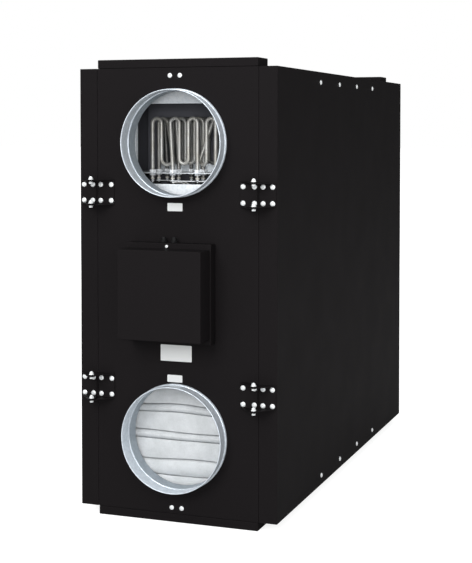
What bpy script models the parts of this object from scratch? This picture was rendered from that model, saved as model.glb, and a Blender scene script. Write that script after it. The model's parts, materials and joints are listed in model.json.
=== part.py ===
"""Air handling unit: a black upright cabinet with two hinged side doors, round duct
spigots at both ends, a control box, and the heater, filters, fans and heat
exchanger that show through the spigots and behind the doors.

Units are metres and +Z is up. The front end faces -Y. The origin is on the floor,
in the middle of the unit's overall box.
"""

import math

import bmesh
import bpy
from mathutils import Matrix, Vector

# Cabinet
UNIT_WIDTH = 0.500
UNIT_DEPTH = 1.250
DOOR_HEIGHT = 1.055
DOOR_THICKNESS = 0.045
SHEET = 0.0012
WALL = 0.035
SEAM = 0.0015
GAP = 0.0003
EDGE_RADIUS = 0.0015

# Rails under and over the cabinet
RAIL_HEIGHT = 0.0205
RAIL_DEPTH = 0.070
RAIL_INSET = 0.002

# Round duct spigots
SPIGOT_DIAMETER = 0.250
SPIGOT_WALL = 0.0012
SPIGOT_REACH = 0.040
SPIGOT_BELOW_TOP = 0.177
SPIGOT_ABOVE_BOTTOM = 0.183
RIM_HEIGHT = 0.001
RIM_WIDTH = 0.0024
BEAD_HEIGHT = 0.0025
BEAD_WIDTH = 0.006
BEAD_OFFSET = 0.0036
ROUND_STEPS = 40

# Hinges
HINGE_FROM_MIDDLE = 0.233
HINGE_HEIGHT = 0.061
HINGE_REACH = 0.036
HINGE_EAR_RADIUS = 0.010
HINGE_PLATE = 0.002
PANEL_LEAF_WIDTH = 0.042
DOOR_LEAF_WIDTH = 0.0395
LEAF_CLEARANCE = 0.0028
PIN_DIAMETER = 0.006
PIN_CLEARANCE = 0.0005
PIN_HEAD_DIAMETER = 0.011
PIN_HEAD_HEIGHT = 0.005
PIN_NUT_HEIGHT = 0.008
EAR_SIDES = 16
PIN_SIDES = 12

# Control box, which sits a little to the left
BOX_OFFSET_X = -0.008
BOX_WIDTH = 0.213
BOX_HEIGHT = 0.2345
BOX_BASE_REACH = 0.030
BOX_LID_REACH = 0.058
BOX_LID_INSET = 0.003
LID_HEIGHT = 0.2095
GLAND_SPACING = 0.026
GLAND_OFFSET_X = -0.0045
GLAND_DIAMETER = 0.014
GLAND_NUT_HEIGHT = 0.006
GLAND_DOME_HEIGHT = 0.012
GLAND_HEIGHT = 0.014
GLAND_DOME_DIAMETER = 0.011
GLAND_BORE = 0.006
GLAND_FROM_PANEL = 0.015

# Dividers, and the room that the heat exchanger keeps behind the fan plates
DIVIDER = 0.015
CORE_BEHIND_PLATE = 0.008

# Pocket filters
FILTER_FRAME_DEPTH = 0.025
FILTER_BEHIND_WALL = 0.002
FILTER_FRAME_WIDTH = 0.014
POCKET_COUNT = 7
POCKET_DEPTH = 0.200
POCKET_TIP = 0.012
FLEECE_DEPTH = 0.018

# Electric heater
HEATER_BEHIND_WALL = 0.0735
HEATER_SHEET = 0.0015
HEATER_SIDE_STRIP = 0.0505
HEATER_OPENING_ABOVE_AXIS = 0.095
HEATER_OPENING_BELOW_AXIS = 0.1015
HEATER_LIP = 0.012
HEATER_PLATE_BELOW_AXIS = 0.0743
HEATER_PLATE_MARGIN = 0.016
HEATER_UPSTAND = 0.020
TUBE_DIAMETER = 0.0082
TUBE_HOLE_CLEARANCE = 0.0003
TUBE_FRONT_MARGIN = 0.0272
TUBE_ROW_PITCH = 0.039
TUBE_SIDE_MARGIN = 0.021
TUBE_BANK_OFFSET = 0.0065
TUBE_TAIL_LEAN = 0.006
TUBE_TAIL_STRAIGHT = 0.014
TUBE_ABOVE_PLATE = 0.1375
BEND_ABOVE_PLATE = 0.018
TAIL_BELOW_PLATE = 0.013
TUBE_ROWS = 3
TUBE_LEGS = 12
TUBE_ARC_STEPS = 6

# Fans
FAN_BEHIND_HEATER = 0.054
FAN_PLATE = 0.003
FAN_THROAT = 0.005
FAN_HOUSING_WIDTH = 0.230
FAN_SPIRAL_GROWTH = 0.031
FAN_WHEEL_GAP = 0.020
FAN_INLET_DEPTH = 0.045
FAN_TO_TOP = 0.0685
FAN_TO_CORE = 0.005
FAN_TO_DIVIDER = 0.060
FAN_SPIRAL_FROM = math.radians(-140.0)
FAN_SPIRAL_TURN = math.radians(230.0)
FAN_SPIRAL_STEPS = 20
FAN_INLET_SIDES = 32

# Heights and half widths that follow from the sizes above
CABINET_BOTTOM = RAIL_HEIGHT
CABINET_TOP = RAIL_HEIGHT + DOOR_HEIGHT
CABINET_MIDDLE = (CABINET_BOTTOM + CABINET_TOP) / 2
INNER_BOTTOM = CABINET_BOTTOM + WALL
INNER_TOP = CABINET_TOP - WALL
DIVIDER_TOP = CABINET_MIDDLE + DIVIDER / 2
DOOR_INNER_X = UNIT_WIDTH / 2 - DOOR_THICKNESS
PANEL_HALF_WIDTH = DOOR_INNER_X - SEAM
PIVOT_X = DOOR_INNER_X
HINGE_OUTREACH = HINGE_REACH + HINGE_EAR_RADIUS
BOX_REACH = BOX_BASE_REACH + BOX_LID_REACH

# The box round the unit runs from the control box lid to the rear hinge ears
CABINET_CENTRE_Y = (BOX_REACH - HINGE_OUTREACH) / 2
FRONT_Y = CABINET_CENTRE_Y - UNIT_DEPTH / 2
REAR_Y = CABINET_CENTRE_Y + UNIT_DEPTH / 2

# Heater places, as depths behind the front end and heights from the spigot's axis
UPPER_AXIS = CABINET_TOP - SPIGOT_BELOW_TOP
HEATER_DEPTH = WALL + HEATER_BEHIND_WALL
HEATER_HALF_OPENING = PANEL_HALF_WIDTH - HEATER_SIDE_STRIP
HEATER_PLATE_NEAR = HEATER_DEPTH + HEATER_LIP + GAP
HEATER_PLATE_TOP = UPPER_AXIS - HEATER_PLATE_BELOW_AXIS
TUBE_FRONT_ROW = HEATER_PLATE_NEAR + TUBE_FRONT_MARGIN
HEATER_PLATE_FAR = TUBE_FRONT_ROW + (TUBE_ROWS - 1) * TUBE_ROW_PITCH + HEATER_PLATE_MARGIN
TUBE_LEG_PITCH = 2 * (HEATER_HALF_OPENING - TUBE_SIDE_MARGIN) / (TUBE_LEGS - 1)
TUBE_FIRST_LEG = TUBE_SIDE_MARGIN - HEATER_HALF_OPENING + TUBE_BANK_OFFSET

# The exchanger core, a square set on its corner, starts just behind the fan plates
FAN_DEPTH = HEATER_PLATE_FAR + FAN_BEHIND_HEATER
CORE_CORNER_DEPTH = FAN_DEPTH + FAN_PLATE + CORE_BEHIND_PLATE
CORE_HALF_DIAGONAL = UNIT_DEPTH / 2 - CORE_CORNER_DEPTH
CORE_SIDE = CORE_HALF_DIAGONAL * math.sqrt(2.0)

# A fan is as large as the core, the top panel and the top divider leave room for
FAN_ROOM_HEIGHT = INNER_TOP - CABINET_MIDDLE - FAN_TO_TOP
FAN_CLEAR_OF_CORE = FAN_THROAT - CORE_BEHIND_PLATE + FAN_TO_CORE * math.sqrt(2.0)
FAN_ROOM_DEPTH = UNIT_DEPTH / 2 - DIVIDER / 2 - FAN_DEPTH - FAN_PLATE
FAN_RADIUS = min(
    (FAN_ROOM_HEIGHT - FAN_CLEAR_OF_CORE) / (2.0 + math.sqrt(2.0)),
    (FAN_ROOM_DEPTH - FAN_THROAT - FAN_TO_DIVIDER) / 2)
FAN_AXIS_DEPTH = FAN_DEPTH + FAN_PLATE + FAN_THROAT + FAN_RADIUS
FAN_AXIS_HEIGHT = CABINET_MIDDLE + FAN_CLEAR_OF_CORE + FAN_RADIUS * (1.0 + math.sqrt(2.0))
FAN_SPIRAL_START = FAN_RADIUS - FAN_SPIRAL_GROWTH
FAN_WHEEL_RADIUS = FAN_SPIRAL_START - FAN_WHEEL_GAP

# Colours, roughness and metallic value of each finish
FINISHES = {
    "black_powder_coat": ((0.0144, 0.0144, 0.0152), 0.45, 0.0),
    "galvanised_steel": ((0.55, 0.57, 0.60), 0.35, 1.0),
    "stainless_tube": ((0.42, 0.40, 0.36), 0.35, 1.0),
    "filter_fleece": ((0.70, 0.70, 0.66), 0.90, 0.0),
    "dark_grey_paint": ((0.035, 0.037, 0.042), 0.50, 0.0),
    "aluminium_foil": ((0.70, 0.71, 0.72), 0.30, 1.0),
    "black_nylon": ((0.010, 0.010, 0.011), 0.55, 0.0),
}


def clear_scene():
    """Remove every object that the scene starts with."""
    for thing in list(bpy.data.objects):
        bpy.data.objects.remove(thing, do_unlink=True)


def new_collection(name):
    """Return a new collection linked to the scene."""
    group = bpy.data.collections.new(name)
    bpy.context.scene.collection.children.link(group)
    return group


def make_finishes():
    """Return one Principled material for each finish."""
    finishes = {}
    for name, (colour, roughness, metallic) in FINISHES.items():
        material = bpy.data.materials.new(name)
        material.use_nodes = True
        shader = material.node_tree.nodes["Principled BSDF"]
        shader.inputs["Base Color"].default_value = (*colour, 1.0)
        shader.inputs["Roughness"].default_value = roughness
        shader.inputs["Metallic"].default_value = metallic
        finishes[name] = material
    return finishes


clear_scene()
UNIT = new_collection("air_handling_unit")
CUTTERS = new_collection("cutters")
MATERIALS = make_finishes()


def place(thing, group=None):
    """Move an object into one collection only."""
    for owner in list(thing.users_collection):
        owner.objects.unlink(thing)
    (group or UNIT).objects.link(thing)
    return thing


def finish_part(thing, name, finish):
    """Name a part, give it its material and put it in the unit."""
    thing.name = name
    thing.data.name = name
    thing.data.materials.clear()
    thing.data.materials.append(MATERIALS[finish])
    return place(thing)


def as_cutter(thing):
    """Make an object a hidden cutter."""
    thing.hide_render = True
    thing.hide_set(True)
    thing.display_type = "WIRE"
    return place(thing, CUTTERS)


def box(low, high):
    """Return a box mesh object between two corners, its origin at its middle."""
    low, high = Vector(low), Vector(high)
    bpy.ops.mesh.primitive_cube_add(size=1.0, location=(low + high) / 2)
    thing = bpy.context.object
    thing.data.transform(Matrix.Diagonal((high - low).to_4d()))
    return thing


def cylinder(centre, radius, length, axis="Z", sides=ROUND_STEPS):
    """Return a cylinder whose axis is X, Y or Z."""
    turn = {"X": (0, math.pi / 2, 0), "Y": (math.pi / 2, 0, 0), "Z": (0, 0, 0)}[axis]
    bpy.ops.mesh.primitive_cylinder_add(
        vertices=sides, radius=radius, depth=length, location=centre, rotation=turn)
    return bpy.context.object


def soften(thing, width=EDGE_RADIUS):
    """Round the edges of a folded or moulded part."""
    bevel = thing.modifiers.new("rounded_edges", "BEVEL")
    bevel.width = width
    bevel.segments = 2
    bevel.limit_method = "ANGLE"
    return thing


def boolean(thing, other, operation):
    """Cut another object from a part, or join it on."""
    step = thing.modifiers.new(operation.lower(), "BOOLEAN")
    step.operation = operation
    step.object = as_cutter(other)
    step.solver = "EXACT"
    return thing


def cut(thing, other):
    """Cut another object out of a part."""
    return boolean(thing, other, "DIFFERENCE")


def join(thing, other):
    """Join another object onto a part as one solid."""
    return boolean(thing, other, "UNION")


def mesh_from_curve(thing):
    """Return a curve object as a mesh object with its caps welded."""
    graph = bpy.context.evaluated_depsgraph_get()
    mesh = bpy.data.meshes.new_from_object(thing.evaluated_get(graph))
    shape = bmesh.new()
    shape.from_mesh(mesh)
    bmesh.ops.remove_doubles(shape, verts=shape.verts, dist=0.00001)
    bmesh.ops.recalc_face_normals(shape, faces=shape.faces)
    shape.to_mesh(mesh)
    shape.free()
    result = bpy.data.objects.new(thing.name, mesh)
    bpy.context.scene.collection.objects.link(result)
    result.matrix_world = thing.matrix_world.copy()
    bpy.data.objects.remove(thing, do_unlink=True)
    return result


def extruded_outline(points, middle_x, width):
    """Return a solid whose (y, z) outline runs along X over a width."""
    curve = bpy.data.curves.new("outline", "CURVE")
    curve.dimensions = "2D"
    curve.fill_mode = "BOTH"
    curve.extrude = width / 2
    spline = curve.splines.new("POLY")
    spline.points.add(len(points) - 1)
    for point, (along, up) in zip(spline.points, points):
        point.co = (along, up, 0.0, 1.0)
    spline.use_cyclic_u = True
    thing = bpy.data.objects.new("outline", curve)
    bpy.context.scene.collection.objects.link(thing)
    thing.matrix_world = Matrix((
        (0.0, 0.0, 1.0, middle_x),
        (1.0, 0.0, 0.0, 0.0),
        (0.0, 1.0, 0.0, 0.0),
        (0.0, 0.0, 0.0, 1.0)))
    bpy.context.view_layer.update()
    return mesh_from_curve(thing)


def bent_tube(points, diameter, name, finish):
    """Return a round tube with filled caps through a list of points."""
    curve = bpy.data.curves.new(name, "CURVE")
    curve.dimensions = "3D"
    curve.bevel_depth = diameter / 2
    curve.bevel_resolution = 2
    curve.use_fill_caps = True
    spline = curve.splines.new("POLY")
    spline.points.add(len(points) - 1)
    for point, place_at in zip(spline.points, points):
        point.co = (*place_at, 1.0)
    thing = bpy.data.objects.new(name, curve)
    thing.data.materials.append(MATERIALS[finish])
    UNIT.objects.link(thing)
    return thing


def turned(profile, name, finish, steps=ROUND_STEPS):
    """Return a solid turned about Z from an (r, z) profile that is closed."""
    mesh = bpy.data.meshes.new(name)
    points = [(radius, 0.0, height) for radius, height in profile]
    edges = [(i, (i + 1) % len(points)) for i in range(len(points))]
    mesh.from_pydata(points, edges, [])
    thing = bpy.data.objects.new(name, mesh)
    bpy.context.scene.collection.objects.link(thing)
    screw = thing.modifiers.new("turned", "SCREW")
    screw.steps = steps
    screw.render_steps = steps
    screw.use_merge_vertices = True
    screw.merge_threshold = 0.00001
    return finish_part(thing, name, finish)


ENDS = {"front": (FRONT_Y, 1.0), "rear": (REAR_Y, -1.0)}
SIDES = {"left": -1.0, "right": 1.0}
LEVELS = {"upper": UPPER_AXIS, "lower": CABINET_BOTTOM + SPIGOT_ABOVE_BOTTOM}
HINGE_HEIGHTS = {
    "upper": CABINET_MIDDLE + HINGE_FROM_MIDDLE,
    "lower": CABINET_MIDDLE - HINGE_FROM_MIDDLE,
}


def depth(end, distance):
    """Return the Y that lies a distance inside one end of the cabinet."""
    face, inward = ENDS[end]
    return face + inward * distance


def end_box(end, near, far, low_x, high_x, low_z, high_z):
    """Return a box between two depths behind one end."""
    first, second = sorted((depth(end, near), depth(end, far)))
    return box((low_x, first, low_z), (high_x, second, high_z))


def make_end_panel(end):
    """Return an end panel with its two round spigot holes."""
    panel = end_box(end, 0.0, WALL, -PANEL_HALF_WIDTH, PANEL_HALF_WIDTH,
                    CABINET_BOTTOM, CABINET_TOP)
    for height in LEVELS.values():
        hole = cylinder((0.0, depth(end, WALL / 2), height),
                        SPIGOT_DIAMETER / 2 + GAP, WALL * 2, "Y")
        cut(panel, hole)
    return finish_part(panel, end + "_panel", "black_powder_coat")


def make_long_panel(name, low_z, high_z):
    """Return the top or bottom panel, which fits between the end panels."""
    start = FRONT_Y + WALL + GAP
    stop = REAR_Y - WALL - GAP
    panel = box((-PANEL_HALF_WIDTH, start, low_z), (PANEL_HALF_WIDTH, stop, high_z))
    return finish_part(panel, name, "black_powder_coat")


def make_rail(end, name, low_z, high_z):
    """Return one rail across the top or bottom of an end."""
    half = DOOR_INNER_X - RAIL_INSET
    rail = end_box(end, 0.0, RAIL_DEPTH, -half, half, low_z, high_z)
    return finish_part(soften(rail), name, "black_powder_coat")


def spigot_profile():
    """Return the closed (r, z) profile of a spigot, z being the depth behind the panel."""
    outer = SPIGOT_DIAMETER / 2
    inner = outer - SPIGOT_WALL
    half = BEAD_WIDTH / 2
    centre = -BEAD_OFFSET
    bead = [(half, 0.0), (half / 2, BEAD_HEIGHT), (-half / 2, BEAD_HEIGHT), (-half, 0.0)]
    down_outside = [(outer, WALL)]
    down_outside += [(outer + rise, centre + along) for along, rise in bead]
    down_outside += [(outer, RIM_WIDTH - SPIGOT_REACH)]
    down_outside += [(outer + RIM_HEIGHT, RIM_WIDTH * 0.7 - SPIGOT_REACH)]
    down_outside += [(outer + RIM_HEIGHT, -SPIGOT_REACH)]
    up_inside = [(inner, -SPIGOT_REACH)]
    up_inside += [(inner + rise, centre + along) for along, rise in reversed(bead)]
    up_inside += [(inner, WALL)]
    return down_outside + up_inside


def make_spigot(end, level):
    """Return one beaded spigot, which passes through its end panel."""
    spigot = turned(spigot_profile(), "spigot_%s_%s" % (end, level), "galvanised_steel")
    turn = -math.pi / 2 if end == "front" else math.pi / 2
    spigot.rotation_euler = (turn, 0.0, 0.0)
    spigot.location = (0.0, depth(end, 0.0), LEVELS[level])
    spigot.data.shade_smooth()
    return spigot


def make_control_box():
    """Make the control box, its lid and the two cable glands on its top."""
    half = BOX_WIDTH / 2
    base = end_box("front", -BOX_BASE_REACH, -GAP, BOX_OFFSET_X - half, BOX_OFFSET_X + half,
                   CABINET_MIDDLE - BOX_HEIGHT / 2, CABINET_MIDDLE + BOX_HEIGHT / 2)
    finish_part(soften(base), "control_box_base", "black_powder_coat")
    half -= BOX_LID_INSET
    lid = end_box("front", -BOX_REACH, -BOX_BASE_REACH - GAP, BOX_OFFSET_X - half, BOX_OFFSET_X + half,
                  CABINET_MIDDLE - LID_HEIGHT / 2, CABINET_MIDDLE + LID_HEIGHT / 2)
    finish_part(soften(lid), "control_box_lid", "black_powder_coat")
    nut, dome, bore = GLAND_DIAMETER / 2, GLAND_DOME_DIAMETER / 2, GLAND_BORE / 2
    profile = [(bore, GLAND_HEIGHT), (dome, GLAND_DOME_HEIGHT), (dome, GLAND_NUT_HEIGHT),
               (nut, GLAND_NUT_HEIGHT), (nut, 0.0), (bore, 0.0)]
    for side, sign in SIDES.items():
        gland = turned(profile, "cable_gland_" + side, "black_nylon", steps=PIN_SIDES)
        gland.location = (BOX_OFFSET_X + GLAND_OFFSET_X + sign * GLAND_SPACING / 2,
                          depth("front", -GLAND_FROM_PANEL), CABINET_MIDDLE + BOX_HEIGHT / 2 + GAP)


def convex_solid(points):
    """Return the convex solid round a set of points."""
    shape = bmesh.new()
    for point in points:
        shape.verts.new(point)
    hull = bmesh.ops.convex_hull(shape, input=shape.verts, use_existing_faces=False)
    spare = [v for v in hull["geom_interior"] + hull["geom_unused"]
             if isinstance(v, bmesh.types.BMVert)]
    bmesh.ops.delete(shape, geom=list(set(spare)), context="VERTS")
    bmesh.ops.dissolve_limit(shape, angle_limit=0.01, verts=shape.verts, edges=shape.edges)
    bmesh.ops.recalc_face_normals(shape, faces=shape.faces)
    mesh = bpy.data.meshes.new("convex_solid")
    shape.to_mesh(mesh)
    shape.free()
    thing = bpy.data.objects.new("convex_solid", mesh)
    bpy.context.scene.collection.objects.link(thing)
    return thing


def make_leaf(end, side, level, on_door):
    """Return one hinge leaf: a plate with an ear bent out at its top and bottom.

    Door ears lie just inside the panel ears, so one short bolt, nut up, holds each
    pair. The front door ears have round holes. The rear ones are open towards the
    middle of the unit, so the door can swing away on its front bolts.
    """
    sign = SIDES[side]
    away = sign if on_door else -sign
    width = DOOR_LEAF_WIDTH if on_door else PANEL_LEAF_WIDTH
    pivot_x, pivot_y = PIVOT_X * sign, depth(end, -HINGE_REACH)
    near_x = pivot_x + away * LEAF_CLEARANCE
    low_x, high_x = sorted((near_x, near_x + away * width))
    middle = HINGE_HEIGHTS[level]
    outer = HINGE_HEIGHT / 2
    if on_door:
        outer -= HINGE_PLATE + PIN_CLEARANCE
    plate = end_box(end, -HINGE_PLATE - GAP, -GAP, low_x, high_x, middle - outer, middle + outer)
    turns = [2 * math.pi * step / EAR_SIDES for step in range(EAR_SIDES)]
    outline = [(pivot_x + HINGE_EAR_RADIUS * math.cos(turn), pivot_y + HINGE_EAR_RADIUS * math.sin(turn))
               for turn in turns]
    outline += [(x, depth(end, -GAP - HINGE_PLATE / 2)) for x in (low_x, high_x)]
    for up in (-1.0, 1.0):
        edge_z = middle + up * outer
        levels = (edge_z, edge_z - up * HINGE_PLATE)
        join(plate, convex_solid([(x, y, z) for x, y in outline for z in levels]))
    for up in (-1.0, 1.0):
        edge_z = middle + up * outer
        if on_door:
            cut_ear(plate, end, sign, (pivot_x, pivot_y, edge_z))
        else:
            inside_z = edge_z - up * 2 * (HINGE_PLATE + PIN_CLEARANCE)
            join_bolt(plate, pivot_x, pivot_y, min(edge_z, inside_z), max(edge_z, inside_z))
    kind = "door" if on_door else "panel"
    name = "hinge_%s_leaf_%s_%s_%s" % (kind, end, side, level)
    return finish_part(plate, name, "black_powder_coat")


def cut_ear(plate, end, sign, centre):
    """Cut the bolt hole of a door ear, open towards the middle at the rear end."""
    radius = PIN_DIAMETER / 2 + PIN_CLEARANCE
    cut(plate, cylinder(centre, radius, HINGE_PLATE * 4, "Z", EAR_SIDES))
    if end == "rear":
        x, y, z = centre
        low_x, high_x = sorted((x, x - sign * HINGE_EAR_RADIUS * 2))
        cut(plate, box((low_x, y - radius, z - HINGE_PLATE * 2), (high_x, y + radius, z + HINGE_PLATE * 2)))


def join_bolt(plate, x, y, below, above):
    """Join a bolt to a panel leaf: its head under one height, its nut over another."""
    radius = PIN_HEAD_DIAMETER / 2
    join(plate, cylinder((x, y, (below + above) / 2), PIN_DIAMETER / 2,
                         above - below + PIN_HEAD_HEIGHT, "Z", PIN_SIDES))
    join(plate, cylinder((x, y, below - PIN_HEAD_HEIGHT / 2), radius, PIN_HEAD_HEIGHT, "Z", PIN_SIDES))
    join(plate, cylinder((x, y, above + PIN_NUT_HEIGHT / 2), radius, PIN_NUT_HEIGHT, "Z", PIN_SIDES))


def make_door(side):
    """Make a door as a folded skin and an insulated liner, hung from its front bolts."""
    sign = SIDES[side]
    pivot = bpy.data.objects.new("door_%s_pivot" % side, None)
    pivot.location = (PIVOT_X * sign, depth("front", -HINGE_REACH), CABINET_MIDDLE)
    UNIT.objects.link(pivot)
    outer_x = UNIT_WIDTH / 2 * sign
    inner_x = DOOR_INNER_X * sign
    low_x, high_x = sorted((outer_x, inner_x))
    skin = box((low_x, FRONT_Y, CABINET_BOTTOM), (high_x, REAR_Y, CABINET_TOP))
    shape = bmesh.new()
    shape.from_mesh(skin.data)
    shape.faces.ensure_lookup_table()
    open_side = [face for face in shape.faces if face.normal.x * sign < -0.5]
    bmesh.ops.delete(shape, geom=open_side, context="FACES_ONLY")
    shape.to_mesh(skin.data)
    shape.free()
    thickness = skin.modifiers.new("sheet", "SOLIDIFY")
    thickness.thickness = SHEET
    thickness.offset = -1.0
    thickness.use_even_offset = True
    finish_part(skin, "door_%s_skin" % side, "black_powder_coat")
    inset = SHEET + GAP
    liner_x = sorted((outer_x - sign * inset, inner_x + sign * SHEET))
    liner = box((liner_x[0], FRONT_Y + inset, CABINET_BOTTOM + inset),
                (liner_x[1], REAR_Y - inset, CABINET_TOP - inset))
    finish_part(liner, "door_%s_liner" % side, "galvanised_steel")
    leaves = [make_leaf(end, side, level, True) for end in ENDS for level in HINGE_HEIGHTS]
    bpy.context.view_layer.update()
    for piece in [skin, liner] + leaves:
        world = piece.matrix_world.copy()
        piece.parent = pivot
        piece.matrix_parent_inverse = pivot.matrix_world.inverted()
        piece.matrix_world = world


def make_exchanger():
    """Make the square heat exchanger core, set on its corner, and its four dividers."""
    core = box((-PANEL_HALF_WIDTH, -CORE_SIDE / 2, -CORE_SIDE / 2),
               (PANEL_HALF_WIDTH, CORE_SIDE / 2, CORE_SIDE / 2))
    core.location = (0.0, CABINET_CENTRE_Y, CABINET_MIDDLE)
    core.rotation_euler = (math.pi / 4, 0.0, 0.0)
    finish_part(core, "exchanger_core", "aluminium_foil")
    for end in ENDS:
        shelf = end_box(end, WALL + GAP, CORE_CORNER_DEPTH - GAP, -PANEL_HALF_WIDTH, PANEL_HALF_WIDTH,
                        CABINET_MIDDLE - DIVIDER / 2, DIVIDER_TOP)
        finish_part(shelf, end + "_divider", "galvanised_steel")
    reach = CORE_HALF_DIAGONAL + GAP
    spans = {"top_divider": (CABINET_MIDDLE + reach, INNER_TOP - GAP),
             "bottom_divider": (INNER_BOTTOM + GAP, CABINET_MIDDLE - reach)}
    for name, (low_z, high_z) in spans.items():
        wall = box((-PANEL_HALF_WIDTH, CABINET_CENTRE_Y - DIVIDER / 2, low_z),
                   (PANEL_HALF_WIDTH, CABINET_CENTRE_Y + DIVIDER / 2, high_z))
        finish_part(wall, name, "galvanised_steel")


def make_filter(end):
    """Make a pocket filter and its frame in the lower chamber of one end."""
    low_z = INNER_BOTTOM + GAP
    high_z = CABINET_MIDDLE - DIVIDER / 2 - GAP
    near = WALL + FILTER_BEHIND_WALL
    far = near + FILTER_FRAME_DEPTH
    half = PANEL_HALF_WIDTH
    frame = end_box(end, near, far, -half, half, low_z, high_z)
    inner_half = half - FILTER_FRAME_WIDTH
    inner_low = low_z + FILTER_FRAME_WIDTH
    inner_high = high_z - FILTER_FRAME_WIDTH
    cut(frame, end_box(end, near - WALL / 2, far + WALL / 2, -inner_half, inner_half,
                       inner_low, inner_high))
    finish_part(frame, "filter_frame_" + end, "galvanised_steel")
    face = near
    back = near + FLEECE_DEPTH
    start = inner_low + GAP
    pitch = (inner_high - inner_low - 2 * GAP) / POCKET_COUNT
    outline = [(depth(end, face), start + POCKET_COUNT * pitch), (depth(end, face), start)]
    for pocket in range(POCKET_COUNT):
        foot = start + pocket * pitch
        middle = foot + pitch / 2
        root = POCKET_TIP / 2
        outline.append((depth(end, back), foot if pocket == 0 else foot + root / 2))
        outline.append((depth(end, face + POCKET_DEPTH), middle - root))
        outline.append((depth(end, face + POCKET_DEPTH), middle + root))
        last = pocket == POCKET_COUNT - 1
        outline.append((depth(end, back), foot + pitch - (0.0 if last else root / 2)))
    if end == "rear":
        outline.reverse()
    fleece = extruded_outline(outline, 0.0, 2 * (inner_half - GAP))
    finish_part(fleece, "filter_fleece_" + end, "filter_fleece")


def fan_outline(end):
    """Return the (y, z) outline of a fan housing: a spiral with a straight throat."""
    points = []
    for step in range(FAN_SPIRAL_STEPS + 1):
        share = step / FAN_SPIRAL_STEPS
        radius = FAN_SPIRAL_START + FAN_SPIRAL_GROWTH * share
        angle = FAN_SPIRAL_FROM + FAN_SPIRAL_TURN * share
        points.append((FAN_AXIS_DEPTH + radius * math.cos(angle),
                       FAN_AXIS_HEIGHT + radius * math.sin(angle)))
    throat_low = points[0][1]
    plate_middle = FAN_DEPTH + FAN_PLATE / 2
    points.append((plate_middle, FAN_AXIS_HEIGHT + FAN_RADIUS))
    points.append((plate_middle, throat_low))
    placed = [(depth(end, along), up) for along, up in points]
    return placed if end == "front" else placed[::-1]


def make_fan(name, end):
    """Make a double inlet fan: a plate across the chamber with a spiral housing behind it."""
    plate = end_box(end, FAN_DEPTH, FAN_DEPTH + FAN_PLATE, -PANEL_HALF_WIDTH, PANEL_HALF_WIDTH,
                    DIVIDER_TOP + GAP, INNER_TOP - GAP)
    join(plate, extruded_outline(fan_outline(end), 0.0, FAN_HOUSING_WIDTH))
    for sign in SIDES.values():
        mouth = cylinder((sign * FAN_HOUSING_WIDTH / 2, depth(end, FAN_AXIS_DEPTH), FAN_AXIS_HEIGHT),
                         FAN_WHEEL_RADIUS, FAN_INLET_DEPTH * 2, "X", FAN_INLET_SIDES)
        cut(plate, mouth)
    finish_part(plate, name, "dark_grey_paint")


def tube_arc(start, end, upward):
    """Return the points of a half turn from one (x, y, z) leg end to the next."""
    start, end = Vector(start), Vector(end)
    middle = (start + end) / 2
    reach = (end - start) / 2
    rise = Vector((0.0, 0.0, reach.length if upward else -reach.length))
    angles = [math.pi * step / TUBE_ARC_STEPS for step in range(TUBE_ARC_STEPS + 1)]
    return [middle - reach * math.cos(angle) + rise * math.sin(angle) for angle in angles]


def element_path(first_leg, mirror, rows):
    """Return the points of one heating element.

    With two rows it is a loop: up in the first row, over, down, round to the second
    row, up, over and down there. With one row it is a pair of hoops side by side.
    Legs are counted from first_leg in the direction that mirror gives.
    """
    radius = TUBE_LEG_PITCH / 2
    near, far = (depth("front", TUBE_FRONT_ROW + row * TUBE_ROW_PITCH) for row in (rows[0], rows[-1]))
    high = HEATER_PLATE_TOP + TUBE_ABOVE_PLATE - TUBE_DIAMETER / 2 - radius
    low = HEATER_PLATE_TOP + BEND_ABOVE_PLATE + TUBE_DIAMETER / 2 + radius
    straight = HEATER_PLATE_TOP + TUBE_TAIL_STRAIGHT
    tail = HEATER_PLATE_TOP - TAIL_BELOW_PLATE

    def spot(leg, y, z, lean=0.0):
        return (TUBE_FIRST_LEG + (first_leg + mirror * leg) * TUBE_LEG_PITCH + mirror * lean, y, z)

    if near != far:
        between = (near + far) / 2
        points = [spot(0, near, tail)]
        points += tube_arc(spot(0, near, high), spot(1, near, high), True)
        points += tube_arc(spot(1, near, low), spot(2, between, low), False)
        points += tube_arc(spot(1, far, high), spot(0, far, high), True)
        return points + [spot(0, far, tail)]
    points = [spot(0, near, tail, TUBE_TAIL_LEAN), spot(0, near, straight, TUBE_TAIL_LEAN)]
    points += tube_arc(spot(0, near, high), spot(1, near, high), True)
    points += tube_arc(spot(1, near, low), spot(2, near, low), False)
    points += tube_arc(spot(2, near, high), spot(3, near, high), True)
    return points + [spot(3, near, tail)]


# First leg, direction and rows of each heating element
ELEMENTS = {
    "heater_element_left_loop": (0, 1.0, (0, 1)),
    "heater_element_middle_front": (2, 1.0, (0,)),
    "heater_element_middle_back": (2, 1.0, (1,)),
    "heater_element_middle_loop": (7, -1.0, (0, 1)),
    "heater_element_right_front": (8, 1.0, (0,)),
    "heater_element_right_back": (8, 1.0, (1,)),
    "heater_element_rear_left": (0, 1.0, (2,)),
    "heater_element_rear_middle": (4, 1.0, (2,)),
    "heater_element_rear_right": (8, 1.0, (2,)),
}


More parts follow.
